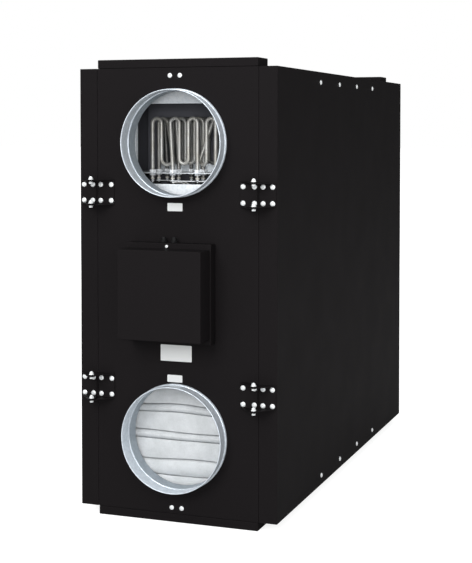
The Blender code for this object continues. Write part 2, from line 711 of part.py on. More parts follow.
def make_heater():
    """Make the heater: a sheet frame, a plate and the tube elements through it."""
    near = HEATER_DEPTH
    half = PANEL_HALF_WIDTH
    frame = end_box("front", near, near + HEATER_SHEET, -half, half, DIVIDER_TOP + GAP, INNER_TOP - GAP)
    bottom = UPPER_AXIS - HEATER_OPENING_BELOW_AXIS
    top = UPPER_AXIS + HEATER_OPENING_ABOVE_AXIS
    lip_half = HEATER_HALF_OPENING + HEATER_SHEET
    join(frame, end_box("front", near + HEATER_SHEET / 2, near + HEATER_LIP, -lip_half, lip_half,
                        bottom - HEATER_SHEET, top + HEATER_SHEET))
    cut(frame, end_box("front", near - HEATER_LIP, near + 2 * HEATER_LIP,
                       -HEATER_HALF_OPENING, HEATER_HALF_OPENING, bottom, top))
    finish_part(frame, "heater_frame", "galvanised_steel")

    plate = end_box("front", HEATER_PLATE_NEAR, HEATER_PLATE_FAR, -half, half,
                    HEATER_PLATE_TOP - HEATER_SHEET, HEATER_PLATE_TOP)
    join(plate, end_box("front", HEATER_PLATE_FAR - HEATER_SHEET, HEATER_PLATE_FAR,
                        -HEATER_HALF_OPENING, HEATER_HALF_OPENING,
                        HEATER_PLATE_TOP - HEATER_SHEET / 2, HEATER_PLATE_TOP + HEATER_UPSTAND))
    for name, (leg, mirror, rows) in ELEMENTS.items():
        path = element_path(leg, mirror, rows)
        bent_tube(path, TUBE_DIAMETER, name, "stainless_tube")
        for end_point in (path[0], path[-1]):
            hole = cylinder((end_point[0], end_point[1], HEATER_PLATE_TOP),
                            TUBE_DIAMETER / 2 + TUBE_HOLE_CLEARANCE, HEATER_LIP, "Z", PIN_SIDES)
            cut(plate, hole)
    finish_part(plate, "heater_plate", "galvanised_steel")


def build():
    """Build every part of the unit."""
    for end in ENDS:
        make_end_panel(end)
        make_rail(end, "top_rail_" + end, CABINET_TOP + GAP, CABINET_TOP + RAIL_HEIGHT)
        make_rail(end, "bottom_rail_" + end, 0.0, CABINET_BOTTOM - GAP)
        for level in LEVELS:
            make_spigot(end, level)
        make_filter(end)
        for side in SIDES:
            for level in HINGE_HEIGHTS:
                make_leaf(end, side, level, False)
    make_long_panel("top_panel", INNER_TOP, CABINET_TOP)
    make_long_panel("bottom_panel", CABINET_BOTTOM, INNER_BOTTOM)
    for side in SIDES:
        make_door(side)
    make_control_box()
    make_exchanger()
    make_fan("supply_fan", "front")
    make_fan("exhaust_fan", "rear")
    make_heater()


build()
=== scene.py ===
"""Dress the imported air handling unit: its finishes, sheet metal detail, fasteners and studio.

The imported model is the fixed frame. Everything here is in metres in that frame, with the
front end of the unit facing -Y and the floor at z = 0.
"""

import json
import logging
import random
from dataclasses import dataclass, field
from enum import Enum
from itertools import product
from math import acos, atan2, cos, hypot, pi, radians, sin, sqrt
from typing import Callable, Sequence

import bmesh
import bpy
from mathutils import Matrix, Vector


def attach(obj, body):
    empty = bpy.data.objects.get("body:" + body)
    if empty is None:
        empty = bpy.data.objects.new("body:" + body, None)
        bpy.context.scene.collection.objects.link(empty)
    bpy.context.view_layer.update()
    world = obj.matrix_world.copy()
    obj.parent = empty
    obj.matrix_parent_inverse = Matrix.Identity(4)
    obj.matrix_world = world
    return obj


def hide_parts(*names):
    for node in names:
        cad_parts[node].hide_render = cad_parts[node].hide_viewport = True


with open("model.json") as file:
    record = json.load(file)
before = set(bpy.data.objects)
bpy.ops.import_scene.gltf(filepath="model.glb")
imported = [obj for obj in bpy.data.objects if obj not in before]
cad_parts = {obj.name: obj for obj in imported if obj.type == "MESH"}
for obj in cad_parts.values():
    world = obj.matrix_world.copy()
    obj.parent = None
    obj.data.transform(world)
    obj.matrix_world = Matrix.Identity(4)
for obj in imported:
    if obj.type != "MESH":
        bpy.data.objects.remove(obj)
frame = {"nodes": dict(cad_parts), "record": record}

LOG = logging.getLogger("air_handling_unit")
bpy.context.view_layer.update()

Point = tuple[float, float, float]
Outline = list[tuple[float, float]]
Shape = bmesh.types.BMesh
Build = Callable[[Shape], None]
Mesh = bpy.types.Mesh
Thing = bpy.types.Object
Tree = bpy.types.NodeTree
Node = bpy.types.Node
Socket = bpy.types.NodeSocket


class Place(Enum):
    """A choice of place on the unit, whose value is its direction along one axis."""

    @property
    def word(self) -> str:
        """Return the place's name as the names of nodes have it."""
        return self.name.lower()


class End(Place):
    """The two ends of the unit, each with the direction that points out of it along Y."""

    FRONT = -1.0
    REAR = 1.0

    @property
    def turn(self) -> Point:
        """Return the turn that points a fastener's local Z out of the end."""
        return (-self.value * pi / 2, 0.0, 0.0)


class Side(Place):
    """The two sides of the unit, each with its direction along X."""

    LEFT = -1.0
    RIGHT = 1.0

    @property
    def door(self) -> str:
        """Return the body of the door that closes this side."""
        return "door_" + self.word


class Level(Place):
    """The upper and lower place of a hinge or spigot, with its direction along Z."""

    UPPER = 1.0
    LOWER = -1.0


@dataclass(frozen=True)
class CabinetSizes:
    """The cabinet's main sizes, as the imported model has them."""

    front_y: float = -0.604
    rear_y: float = 0.646
    bottom: float = 0.0205
    top: float = 1.0755
    height: float = 1.096
    door_inner_x: float = 0.205
    panel_half: float = 0.2035
    wall: float = 0.035
    gap: float = 0.0003
    upper_axis: float = 0.8985
    lower_axis: float = 0.2035

    @property
    def middle(self) -> float:
        """Return the height of the middle of the doors."""
        return (self.bottom + self.top) / 2

    @property
    def centre_y(self) -> float:
        """Return the middle of the cabinet along Y."""
        return (self.front_y + self.rear_y) / 2

    def depth(self, end: End, inside: float) -> float:
        """Return the Y of a plane inside one end.

        Args:
            end: The end that the distance is measured from.
            inside: The distance towards the middle of the unit.

        Returns:
            The Y of that plane.
        """
        face = self.front_y if end is End.FRONT else self.rear_y
        return face - end.value * inside

    def span(self, end: End, near: float, far: float) -> list[float]:
        """Return the Y range between two distances inside one end.

        Args:
            end: The end that the distances are measured from.
            near: One distance.
            far: The other distance.

        Returns:
            The lower Y and the higher Y.
        """
        return sorted((self.depth(end, near), self.depth(end, far)))

    def spigot_z(self, level: Level) -> float:
        """Return the height of a spigot's axis."""
        return self.upper_axis if level is Level.UPPER else self.lower_axis


SIZES = CabinetSizes()


def srgb(code: str) -> tuple[float, float, float, float]:
    """Turn an sRGB hex colour into the linear values that a shader takes.

    Args:
        code: The colour as #RRGGBB.

    Returns:
        The red, green and blue as linear values, and an alpha of 1.
    """
    parts = [int(code[at:at + 2], 16) / 255 for at in (1, 3, 5)]
    red, green, blue = (p / 12.92 if p <= 0.04045 else ((p + 0.055) / 1.055) ** 2.4 for p in parts)
    return (red, green, blue, 1.0)


def add_node(tree: Tree, kind: str, settings: dict | None = None, links: dict | None = None,
             feeds: Socket | None = None) -> Node:
    """Add one node with its settings and its links.

    Args:
        tree: The node tree that the node goes into.
        kind: Blender's name for the type of node.
        settings: Values for its sockets, by name or number, or for its own properties. The
            stops of a colour ramp are places from 0 to 1, each with its colour.
        links: For each of its input sockets, the output socket that feeds it.
        feeds: The input socket of another node that its first output feeds.

    Returns:
        The new node.
    """
    node = tree.nodes.new(kind)
    for key, value in (settings or {}).items():
        if key == "stops":
            elements = node.color_ramp.elements
            while len(elements) < len(value):
                elements.new(0.5)
            for element, (place, colour) in zip(elements, value):
                element.position = place
                element.color = srgb(colour)
        elif isinstance(key, str) and hasattr(node, key) and key not in node.inputs:
            setattr(node, key, value)
        else:
            node.inputs[key].default_value = value
    for key, source in (links or {}).items():
        tree.links.new(source, node.inputs[key])
    if feeds:
        tree.links.new(node.outputs[0], feeds)
    return node


@dataclass(frozen=True)
class Finish:
    """A finish: the sockets that stay the same all over, and the slot that it fills.

    A kind of finish adds its pattern in the method pattern.
    """

    title: str
    slot: str
    colour: str
    roughness: float
    metallic: float = 0.0
    specular: float = 0.5

    def material(self) -> bpy.types.Material:
        """Return the material, made the first time that it is asked for."""
        known = bpy.data.materials.get(self.title)
        if known:
            return known
        made = bpy.data.materials.new(self.title)
        made.use_nodes = True
        made.diffuse_color = srgb(self.colour)
        tree = made.node_tree
        shader = tree.nodes["Principled BSDF"]
        for socket, value in (("Base Color", srgb(self.colour)), ("Roughness", self.roughness),
                              ("Metallic", self.metallic), ("Specular IOR Level", self.specular)):
            shader.inputs[socket].default_value = value
        self.pattern(tree, shader, add_node(tree, "ShaderNodeTexCoord").outputs["Object"])
        return made

    def gloss(self, below: float, above: float) -> dict:
        """Return the range of roughness round the finish's own that a pattern moves in."""
        return {"To Min": self.roughness - below, "To Max": self.roughness + above}

    def pattern(self, tree: Tree, shader: Node, place: Socket) -> None:
        """Add the finish's pattern, read from the Object coordinates in metres.

        Args:
            tree: The material's node tree.
            shader: Its Principled BSDF node.
            place: The Object coordinates.
        """


@dataclass(frozen=True)
class PowderCoat(Finish):
    """Baked black polyester powder coat, which leaves a fine orange peel of 1 to 2 mm."""

    grain: float = 0.0016
    clouds: float = 9.0

    def pattern(self, tree: Tree, shader: Node, place: Socket) -> None:
        """Add the orange peel and the slight unevenness of a sprayed panel.

        Args:
            tree: The material's node tree.
            shader: Its Principled BSDF node.
            place: The Object coordinates.
        """
        peel = add_node(tree, "ShaderNodeTexNoise",
                        {"Scale": 1.0 / self.grain, "Detail": 2.0, "Roughness": 0.55}, {"Vector": place})
        cloud = add_node(tree, "ShaderNodeTexNoise",
                         {"Scale": self.clouds, "Detail": 3.0, "Roughness": 0.5}, {"Vector": place})
        add_node(tree, "ShaderNodeMapRange", self.gloss(0.05, 0.05), {"Value": cloud.outputs["Fac"]},
                 shader.inputs["Roughness"])
        add_node(tree, "ShaderNodeBump", {"Strength": 0.25, "Distance": 0.0001},
                 {"Height": peel.outputs["Fac"]}, shader.inputs["Normal"])


@dataclass(frozen=True)
class GalvanisedSheet(Finish):
    """Hot-dip galvanised steel sheet, whose zinc freezes into spangles of about 6 mm."""

    spangle: float = 0.006
    dark: str = "#C3CBD3"
    light: str = "#D2D9E0"
    wander: float = 0.006

    def pattern(self, tree: Tree, shader: Node, place: Socket) -> None:
        """Add the spangles, whose edges wander and which differ in tone and gloss.

        Args:
            tree: The material's node tree.
            shader: Its Principled BSDF node.
            place: The Object coordinates.
        """
        drift = add_node(tree, "ShaderNodeTexNoise", {"Scale": 60.0, "Detail": 2.0}, {"Vector": place})
        shifted = add_node(tree, "ShaderNodeMix", {"data_type": "VECTOR", 0: self.wander},
                           {4: place, 5: drift.outputs["Color"]})
        cells = add_node(tree, "ShaderNodeTexVoronoi", {"Scale": 1.0 / self.spangle, "Randomness": 1.0},
                         {"Vector": shifted.outputs[1]})
        tone = add_node(tree, "ShaderNodeSeparateColor", links={"Color": cells.outputs["Color"]})
        stops = [(0.0, self.dark), (0.5, self.colour), (1.0, self.light)]
        add_node(tree, "ShaderNodeValToRGB", {"stops": stops}, {"Fac": tone.outputs["Red"]},
                 shader.inputs["Base Color"])
        add_node(tree, "ShaderNodeMapRange", self.gloss(0.05, 0.07), {"Value": tone.outputs["Green"]},
                 shader.inputs["Roughness"])
        add_node(tree, "ShaderNodeBump", {"Strength": 0.03, "Distance": 0.0001},
                 {"Height": cells.outputs["Distance"]}, shader.inputs["Normal"])


@dataclass(frozen=True)
class HeatedStainless(Finish):
    """Bright-drawn stainless heater tube, dulled and tinted straw by its own heat."""

    tint: str = "#A8A69F"
    # Painted shade: inner is the colour that the back rows of tubes darken to, standing in for the shade that
    # the front rows cast; rows is the Y range over which it deepens.
    inner: str = "#5C5C5B"
    rows: tuple = (-0.452, -0.374)

    def pattern(self, tree: Tree, shader: Node, place: Socket) -> None:
        """Add straw patches, painted shade that darkens the tubes from the front row to the back row, and
        fine drawing scratches.

        Args:
            tree: The material's node tree.
            shader: Its Principled BSDF node.
            place: The Object coordinates.
        """
        heat = add_node(tree, "ShaderNodeTexNoise", {"Scale": 26.0, "Detail": 3.0}, {"Vector": place})
        fresh = add_node(tree, "ShaderNodeValToRGB", {"stops": [(0.38, self.colour), (0.62, self.tint)]},
                         {"Fac": heat.outputs["Fac"]})
        # Painted shade: the tube colour darkens with depth along Y, from the front row to the back row.
        along = add_node(tree, "ShaderNodeSeparateXYZ", links={"Vector": place})
        depth = add_node(tree, "ShaderNodeMapRange", {"From Min": self.rows[0], "From Max": self.rows[1]},
                         {"Value": along.outputs["Y"]})
        shaded_by_depth = add_node(tree, "ShaderNodeMix", {"data_type": "RGBA", 7: srgb(self.inner)},
                        {0: depth.outputs["Result"], 6: fresh.outputs["Color"]})
        tree.links.new(shaded_by_depth.outputs[2], shader.inputs["Base Color"])
        stretched = add_node(tree, "ShaderNodeMapping", {"Scale": (900.0, 900.0, 40.0)}, {"Vector": place})
        scratch = add_node(tree, "ShaderNodeTexNoise", {"Scale": 1.0, "Detail": 1.0},
                           {"Vector": stretched.outputs["Vector"]})
        add_node(tree, "ShaderNodeMapRange", self.gloss(0.04, 0.05), {"Value": scratch.outputs["Fac"]},
                 shader.inputs["Roughness"])


@dataclass(frozen=True)
class ZincPlate(Finish):
    """Bright zinc-plated steel of bolts and rivets, slightly cloudy from its passivation."""

    dark: str = "#C6CBCE"
    light: str = "#E4E4DF"

    def pattern(self, tree: Tree, shader: Node, place: Socket) -> None:
        """Add the cloudy passivation film.

        Args:
            tree: The material's node tree.
            shader: Its Principled BSDF node.
            place: The Object coordinates.
        """
        cloud = add_node(tree, "ShaderNodeTexNoise", {"Scale": 420.0, "Detail": 3.0}, {"Vector": place})
        stops = [(0.3, self.dark), (0.5, self.colour), (0.7, self.light)]
        add_node(tree, "ShaderNodeValToRGB", {"stops": stops}, {"Fac": cloud.outputs["Fac"]},
                 shader.inputs["Base Color"])
        add_node(tree, "ShaderNodeMapRange", self.gloss(0.06, 0.1), {"Value": cloud.outputs["Fac"]},
                 shader.inputs["Roughness"])


@dataclass(frozen=True)
class NeedledFleece(Finish):
    """Needled polyester filter fleece, a matt off-white felt of loose 0.5 mm fibres."""

    fibre: float = 0.0011
    dark: str = "#A3A6A7"
    light: str = "#D2D5D7"

    def pattern(self, tree: Tree, shader: Node, place: Socket) -> None:
        """Add tangled fibres, drawn twice as coarse as they are so that they show.

        Args:
            tree: The material's node tree.
            shader: Its Principled BSDF node.
            place: The Object coordinates.
        """
        wander = add_node(tree, "ShaderNodeTexNoise", {"Scale": 180.0, "Detail": 3.0}, {"Vector": place})
        bent = add_node(tree, "ShaderNodeMix", {"data_type": "VECTOR", 0: 0.01},
                        {4: place, 5: wander.outputs["Color"]})
        fibres = add_node(tree, "ShaderNodeTexNoise",
                          {"Scale": 1.0 / self.fibre, "Detail": 3.0, "Roughness": 0.6},
                          {"Vector": bent.outputs[1]})
        patch = add_node(tree, "ShaderNodeTexNoise", {"Scale": 22.0, "Detail": 5.0, "Roughness": 0.72},
                         {"Vector": place})
        mixed = add_node(tree, "ShaderNodeMix", {0: 0.5},
                         {2: patch.outputs["Fac"], 3: fibres.outputs["Fac"]})
        stops = [(0.3, self.dark), (0.52, self.colour), (0.74, self.light)]
        add_node(tree, "ShaderNodeValToRGB", {"stops": stops}, {"Fac": mixed.outputs[0]},
                 shader.inputs["Base Color"])
        add_node(tree, "ShaderNodeBump", {"Strength": 0.45, "Distance": 0.0006},
                 {"Height": fibres.outputs["Fac"]}, shader.inputs["Normal"])


@dataclass(frozen=True)
class PlainCoat(Finish):
    """Enamel, nylon, rubber, film or porcelain: one colour with a fine surface grain."""

    grain: float = 0.0008
    relief: float = 0.15

    def pattern(self, tree: Tree, shader: Node, place: Socket) -> None:
        """Add the surface grain as a small change of roughness and height.

        Args:
            tree: The material's node tree.
            shader: Its Principled BSDF node.
            place: The Object coordinates.
        """
        fine = add_node(tree, "ShaderNodeTexNoise", {"Scale": 1.0 / self.grain, "Detail": 2.0},
                        {"Vector": place})
        add_node(tree, "ShaderNodeMapRange", self.gloss(0.04, 0.06), {"Value": fine.outputs["Fac"]},
                 shader.inputs["Roughness"])
        add_node(tree, "ShaderNodeBump", {"Strength": self.relief, "Distance": 0.00008},
                 {"Height": fine.outputs["Fac"]}, shader.inputs["Normal"])


COAT = PowderCoat("powder_coated_black_steel", "black_powder_coat", "#151314", 0.6, specular=0.035)
LINER = PowderCoat("polyester_coated_liner_sheet", "black_powder_coat", "#66676D", 0.55, specular=0.15)
GALVANISED = GalvanisedSheet("galvanised_spangled_steel", "galvanised_steel", "#CAD2DA", 0.38, 0.42)
BRIGHT_SHEET = GalvanisedSheet("aluminium_zinc_coated_sheet", "galvanised_steel", "#EAF0F5", 0.38, 0.12,
                               spangle=0.004, dark="#E0E7EC", light="#F1F5F8")
TUBE = HeatedStainless("heat_tinted_stainless_tube", "stainless_tube", "#B9B9B6", 0.38, 0.4)
ZINC = ZincPlate("zinc_plated_fasteners", "galvanised_steel", "#DCDFE1", 0.4, 0.25)
# Painted light: a brighter copy of the zinc plating, for the heater's nuts, studs and link strips that stand
# in the spigot's shade.
LIT_ZINC = ZincPlate("nickel_plated_fittings", "galvanised_steel", "#F3F6F9", 0.34, 0.05, dark="#E6EBF0",
                   light="#F6F8FA")
# Painted shade: a dull dark sheet for the sleeve inside each collar, which darkens the deep band of the
# collar's wall where shade falls.
SHADE_SLEEVE_SHEET = GalvanisedSheet("dull_zinc_inner_sleeve", "galvanised_steel", "#98A1A9", 0.46, 0.35,
                               dark="#929BA3", light="#9FA8AF")
FLEECE = NeedledFleece("needled_filter_fleece", "filter_fleece", "#BBBEC0", 0.92, specular=0.2)
ENAMEL = PlainCoat("dark_grey_stove_enamel", "dark_grey_paint", "#66676E", 0.5, specular=0.22)
NYLON = PlainCoat("moulded_black_nylon", "black_nylon", "#131314", 0.56, specular=0.12)
RUBBER = PlainCoat("foamed_black_rubber_seal", "black_nylon", "#101011", 0.85, specular=0.15, relief=0.5)
FILM = PlainCoat("matt_white_label_film", "filter_fleece", "#C2C4C4", 0.55, specular=0.3, relief=0.03)
CERAMIC = PlainCoat("white_steatite_beads", "filter_fleece", "#E9E6DD", 0.35, specular=0.5, relief=0.05)
WIRE = PlainCoat("black_silicone_wire_sleeve", "black_nylon", "#0C0C0D", 0.5, specular=0.4)
SLEEVE = PlainCoat("white_silicone_wire_sleeve", "filter_fleece", "#E6E6E4", 0.5, specular=0.4)
# Painted shade: the foil folds between the plates, darkened to the shade deep inside the core.
SHADED_FOLDS = PlainCoat("shaded_foil_folds", "aluminium_foil", "#4A4C4E", 0.6, metallic=0.5)
FOIL = GalvanisedSheet("rolled_aluminium_plate", "aluminium_foil", "#C6C8CA", 0.34, 1.0, spangle=0.05,
                       dark="#BCBEC0", light="#CFD1D2")


def new_object(name: str, mesh: Mesh) -> Thing:
    """Put a mesh into the scene as an object at the origin.

    Args:
        name: The object's name.
        mesh: Its mesh.

    Returns:
        The object.
    """
    thing = bpy.data.objects.new(name, mesh)
    bpy.context.scene.collection.objects.link(thing)
    return thing


def shape_from(build: Build, name: str) -> Mesh:
    """Return a mesh that a function builds, with its doubles merged and its faces outwards.

    Args:
        build: A function that fills an empty bmesh.
        name: The name of the mesh.

    Returns:
        The finished mesh.
    """
    shape = bmesh.new()
    build(shape)
    bmesh.ops.remove_doubles(shape, verts=shape.verts, dist=0.000002)
    bmesh.ops.recalc_face_normals(shape, faces=shape.faces)
    mesh = bpy.data.meshes.new(name)
    shape.to_mesh(mesh)
    shape.free()
    return mesh


def applied(thing: Thing, helpers: Sequence[Thing] = ()) -> Mesh:
    """Return an object's mesh with its modifiers applied, and remove the object.

    Args:
        thing: The object with its modifiers.
        helpers: Other objects that are removed with it.

    Returns:
        The plain mesh.
    """
    graph = bpy.context.evaluated_depsgraph_get()
    mesh = bpy.data.meshes.new_from_object(thing.evaluated_get(graph))
    for done in (thing, *helpers):
        bpy.data.objects.remove(done)
    return mesh


def join_rings(shape: Shape, rings: Sequence[Sequence[bmesh.types.BMVert]], closed: bool = False,
               capped: bool = False) -> None:
    """Join rings of equally many vertices into a wall.

    Args:
        shape: The bmesh to add to.
        rings: The rings, in order. A ring on an axis is one vertex many times over.
        closed: Whether the last ring joins the first.
        capped: Whether the first and the last ring get a face.
    """
    pairs = list(zip(rings, rings[1:])) + ([(rings[-1], rings[0])] if closed else [])
    for lower, upper in pairs:
        for at in range(len(lower)):
            after = (at + 1) % len(lower)
            corners = list(dict.fromkeys((lower[at], lower[after], upper[after], upper[at])))
            if len(corners) > 2:
                shape.faces.new(corners)
    if capped:
        shape.faces.new(rings[0])
        shape.faces.new(rings[-1])


def round_edges(shape: Shape, edges: list, radius: float, segments: int) -> None:
    """Round edges of a shape.

    Args:
        shape: The bmesh that the edges belong to.
        edges: The edges.
        radius: The radius that they get; 0 leaves them sharp.
        segments: How many faces a rounded edge has.
    """
    if radius:
        bmesh.ops.bevel(shape, geom=edges, offset=radius, offset_type="OFFSET", segments=segments,
                        profile=0.5, affect="EDGES", clamp_overlap=True)


def add_block(shape: Shape, low: Point, high: Point, radius: float = 0.0, segments: int = 3) -> None:
    """Add a block with rounded edges to a shape.

    Args:
        shape: The bmesh to add to.
        low: The lowest corner.
        high: The highest corner.
        radius: The radius of its edges.
        segments: How many faces a rounded edge has.
    """
    verts = bmesh.ops.create_cube(shape, size=1.0)["verts"]
    middle = (Vector(low) + Vector(high)) / 2
    spread = Vector(high) - Vector(low)
    for vert in verts:
        vert.co = Vector(c * s for c, s in zip(vert.co, spread)) + middle
    edges = list(dict.fromkeys(edge for vert in verts for edge in vert.link_edges))
    round_edges(shape, edges, radius, segments)


def add_prism(shape: Shape, outline: Sequence[Point], along: Vector, radius: float = 0.0,
              segments: int = 2) -> None:
    """Add a prism: an outline in space pushed along a direction, its rims rounded.

    Args:
        shape: The bmesh to add to.
        outline: The corners of the first face, in order.
        along: The direction and length of the push.
        radius: The radius of the rims.
        segments: How many faces a rounded rim has.
    """
    rings = [[shape.verts.new(p) for p in outline], [shape.verts.new(Vector(p) + along) for p in outline]]
    rims = [edge for ring in rings for edge in shape.faces.new(ring).edges]
    join_rings(shape, rings)
    round_edges(shape, rims, radius, segments)


def add_hexagon(shape: Shape, radius: float, height: float, base: float, chamfer: float) -> None:
    """Add the hexagon body of a nut or a bolt head, with chamfered corners.

    Args:
        shape: The bmesh to add to.
        radius: The radius to its corners.
        height: Its height; it goes down from its base where this is negative.
        base: The height of its base.
        chamfer: How much its corners are cut.
    """
    corners = [(radius * cos(pi / 3 * s), radius * sin(pi / 3 * s), base)
               for s in range(6)]
    add_prism(shape, corners, Vector((0.0, 0.0, height)), chamfer, 2)


def add_turned(shape: Shape, profile: Sequence[tuple[float, float]], place: Matrix = Matrix(),
               steps: int = 48, closed: bool = False) -> None:
    """Add a shape turned about its own Z from radius and height pairs.

    Args:
        shape: The bmesh to add to.
        profile: Radius and height pairs; a radius of 0 closes the shape on its axis.
        place: Where the turned shape goes.
        steps: How many faces go round.
        closed: Whether the last pair joins the first.
    """
    rings = []
    for radius, height in profile:
        if radius <= 0.0:
            rings.append([shape.verts.new(place @ Vector((0.0, 0.0, height)))] * steps)
            continue
        rings.append([shape.verts.new(place @ Vector((radius * cos(2 * pi * s / steps),
                                                      radius * sin(2 * pi * s / steps), height)))
                      for s in range(steps)])
    join_rings(shape, rings, closed)


def add_tube(shape: Shape, path: Sequence[Vector], radius: float, sides: int = 12) -> None:
    """Add a round tube with flat ends along a path.

    Args:
        shape: The bmesh to add to.
        path: The points of its middle line.
        radius: Its outer radius.
        sides: How many faces go round.
    """
    points = [Vector(p) for p in path]
    across = (points[1] - points[0]).normalized().orthogonal().normalized()
    rings = []
    for at, point in enumerate(points):
        heading = (points[min(at + 1, len(points) - 1)] - points[max(at - 1, 0)]).normalized()
        across = (across - heading * across.dot(heading)).normalized()
        up = heading.cross(across)
        rings.append([shape.verts.new(point + across * (radius * cos(2 * pi * s / sides))
                                      + up * (radius * sin(2 * pi * s / sides)))
                      for s in range(sides)])
    join_rings(shape, rings, capped=True)


def rounded_loop(across: str, level: float, low: tuple[float, float], high: tuple[float, float],
                 radius: float = 0.0, steps: int = 5) -> list[Point]:
    """Return a rectangle with rounded corners as a loop of points in a plane across X or Y.

    Args:
        across: The axis that the plane is square to, x or y.
        level: The plane's place on that axis.
        low: Its lowest corner in the plane, as Y or X and then Z.
        high: Its highest corner in the plane.
        radius: The radius of its corners.
        steps: How many points each rounded corner has.

    Returns:
        The points in order.
    """
    flat = []
    for sx, sz, start in ((1, 1, 0), (-1, 1, 90), (-1, -1, 180), (1, -1, 270)):
        corner = (high[0] if sx > 0 else low[0], high[1] if sz > 0 else low[1])
        for step in range(steps if radius else 1):
            turn = radians(start + (90 * step / (steps - 1) if radius else 45))
            flat.append((corner[0] - sx * radius + radius * cos(turn),
                         corner[1] - sz * radius + radius * sin(turn)))
    return [(level, a, b) if across == "x" else (a, level, b) for a, b in flat]


def add_loops(shape: Shape, loops: Sequence[Sequence[Point]]) -> None:
    """Join closed loops of equally many points into a wall that closes on itself."""
    join_rings(shape, [[shape.verts.new(p) for p in loop] for loop in loops], True)


def place_at(point: Point, axis: Point) -> Matrix:
    """Return the placing that turns local Z to an axis at a point.

    Args:
        point: Where local zero goes.
        axis: The direction that local Z takes.

    Returns:
        The placing as a matrix.
    """
    turn = Vector((0.0, 0.0, 1.0)).rotation_difference(Vector(axis)).to_matrix().to_4x4()
    return Matrix.Translation(Vector(point)) @ turn


def cut_holes(mesh: Mesh, radius: float, reach: float, places: Sequence[Matrix], steps: int) -> Mesh:
    """Return a mesh with round holes cut through it.

    Args:
        mesh: The mesh to cut.
        radius: The radius of the holes.
        reach: How far a hole goes to both sides of its middle.
        places: The placing of each hole, its middle at local zero and its axis along local Z.
        steps: How many faces go round a hole.

    Returns:
        The cut mesh.
    """
    profile = [(0.0, -reach), (radius, -reach), (radius, reach), (0.0, reach)]
    blank = new_object("blank", mesh)
    drums = []
    for place in places:
        drums.append(new_object("hole", shape_from(
            lambda shape: add_turned(shape, profile, place, steps), "hole")))
        step = blank.modifiers.new("hole", "BOOLEAN")
        step.object = drums[-1]
        step.operation = "DIFFERENCE"
        step.solver = "EXACT"
    return applied(blank, drums)


def dress(name: str, mesh: Mesh | Build, finish: Finish, node: str = "", body: str = "cabinet",
          smooth: float | None = 35.0) -> Thing:
    """Give a mesh its finish, ride it on a body and hide the CAD node it stands for.

    Args:
        name: The piece's name.
        mesh: Its mesh, in place, or a function that fills an empty bmesh with it.
        finish: Its finish.
        node: The CAD node that it replaces, if it does.
        body: The CAD body that it rides on.
        smooth: Faces are shaded smooth below this angle in degrees; None keeps them flat.

    Returns:
        The finished piece.
    """
    if callable(mesh):
        mesh = shape_from(mesh, name)
    mesh.materials.clear()
    mesh.materials.append(finish.material())
    piece = new_object(name, mesh)
    if smooth is not None:
        mesh.shade_smooth()
        mesh.set_sharp_from_angle(angle=radians(smooth))
        piece.modifiers.new("flat_faces_stay_flat", "WEIGHTED_NORMAL").keep_sharp = True
    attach(piece, body)
    if node:
        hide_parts(node)
    LOG.info("%s on %s: %d faces", name, body, len(mesh.polygons))
    return piece


def repeat(name: str, pattern: Mesh, points: Sequence[Point], finish: Finish, body: str = "cabinet",
           turn: Point = (0.0, 0.0, 0.0), smooth: float | None = 35.0) -> Thing:
    """Repeat one mesh at points with Geometry Nodes and keep the result as a plain mesh.

    Args:
        name: The piece's name.
        pattern: The mesh that is repeated, modelled about the origin.
        points: Where the copies go.
        finish: The finish of all copies.
        body: The CAD body that the piece rides on.
        turn: The turn of every copy, as Euler angles.
        smooth: The smooth shading angle in degrees.

    Returns:
        The finished piece.
    """
    carrier_mesh = bpy.data.meshes.new(name + "_points")
    carrier_mesh.from_pydata([tuple(p) for p in points], [], [])
    carrier = new_object(name + "_points", carrier_mesh)
    source = new_object(name + "_pattern", pattern)
    tree = bpy.data.node_groups.new(name + "_nodes", "GeometryNodeTree")
    sockets = {}
    for title, kind in (("Points", "NodeSocketGeometry"), ("Pattern", "NodeSocketObject"),
                        ("Turn", "NodeSocketRotation"), ("Finish", "NodeSocketMaterial")):
        sockets[title] = tree.interface.new_socket(title, in_out="INPUT", socket_type=kind).identifier
    tree.interface.new_socket("Geometry", in_out="OUTPUT", socket_type="NodeSocketGeometry")
    given = add_node(tree, "NodeGroupInput").outputs
    shape = add_node(tree, "GeometryNodeObjectInfo", {"transform_space": "ORIGINAL"},
                     {"Object": given["Pattern"]})
    copies = add_node(tree, "GeometryNodeInstanceOnPoints", links={
        "Points": given["Points"], "Instance": shape.outputs["Geometry"], "Rotation": given["Turn"]})
    real = add_node(tree, "GeometryNodeRealizeInstances", links={"Geometry": copies.outputs["Instances"]})
    painted = add_node(tree, "GeometryNodeSetMaterial", links={
        "Geometry": real.outputs["Geometry"], "Material": given["Finish"]})
    add_node(tree, "NodeGroupOutput", links={"Geometry": painted.outputs["Geometry"]})
    modifier = carrier.modifiers.new("repeat", "NODES")
    modifier.node_group = tree
    for title, value in (("Pattern", source), ("Turn", turn), ("Finish", finish.material())):
        modifier[sockets[title]] = value
    bpy.context.view_layer.update()
    mesh = applied(carrier, [source])
    mesh.name = name
    return dress(name, mesh, finish, body=body, smooth=smooth)


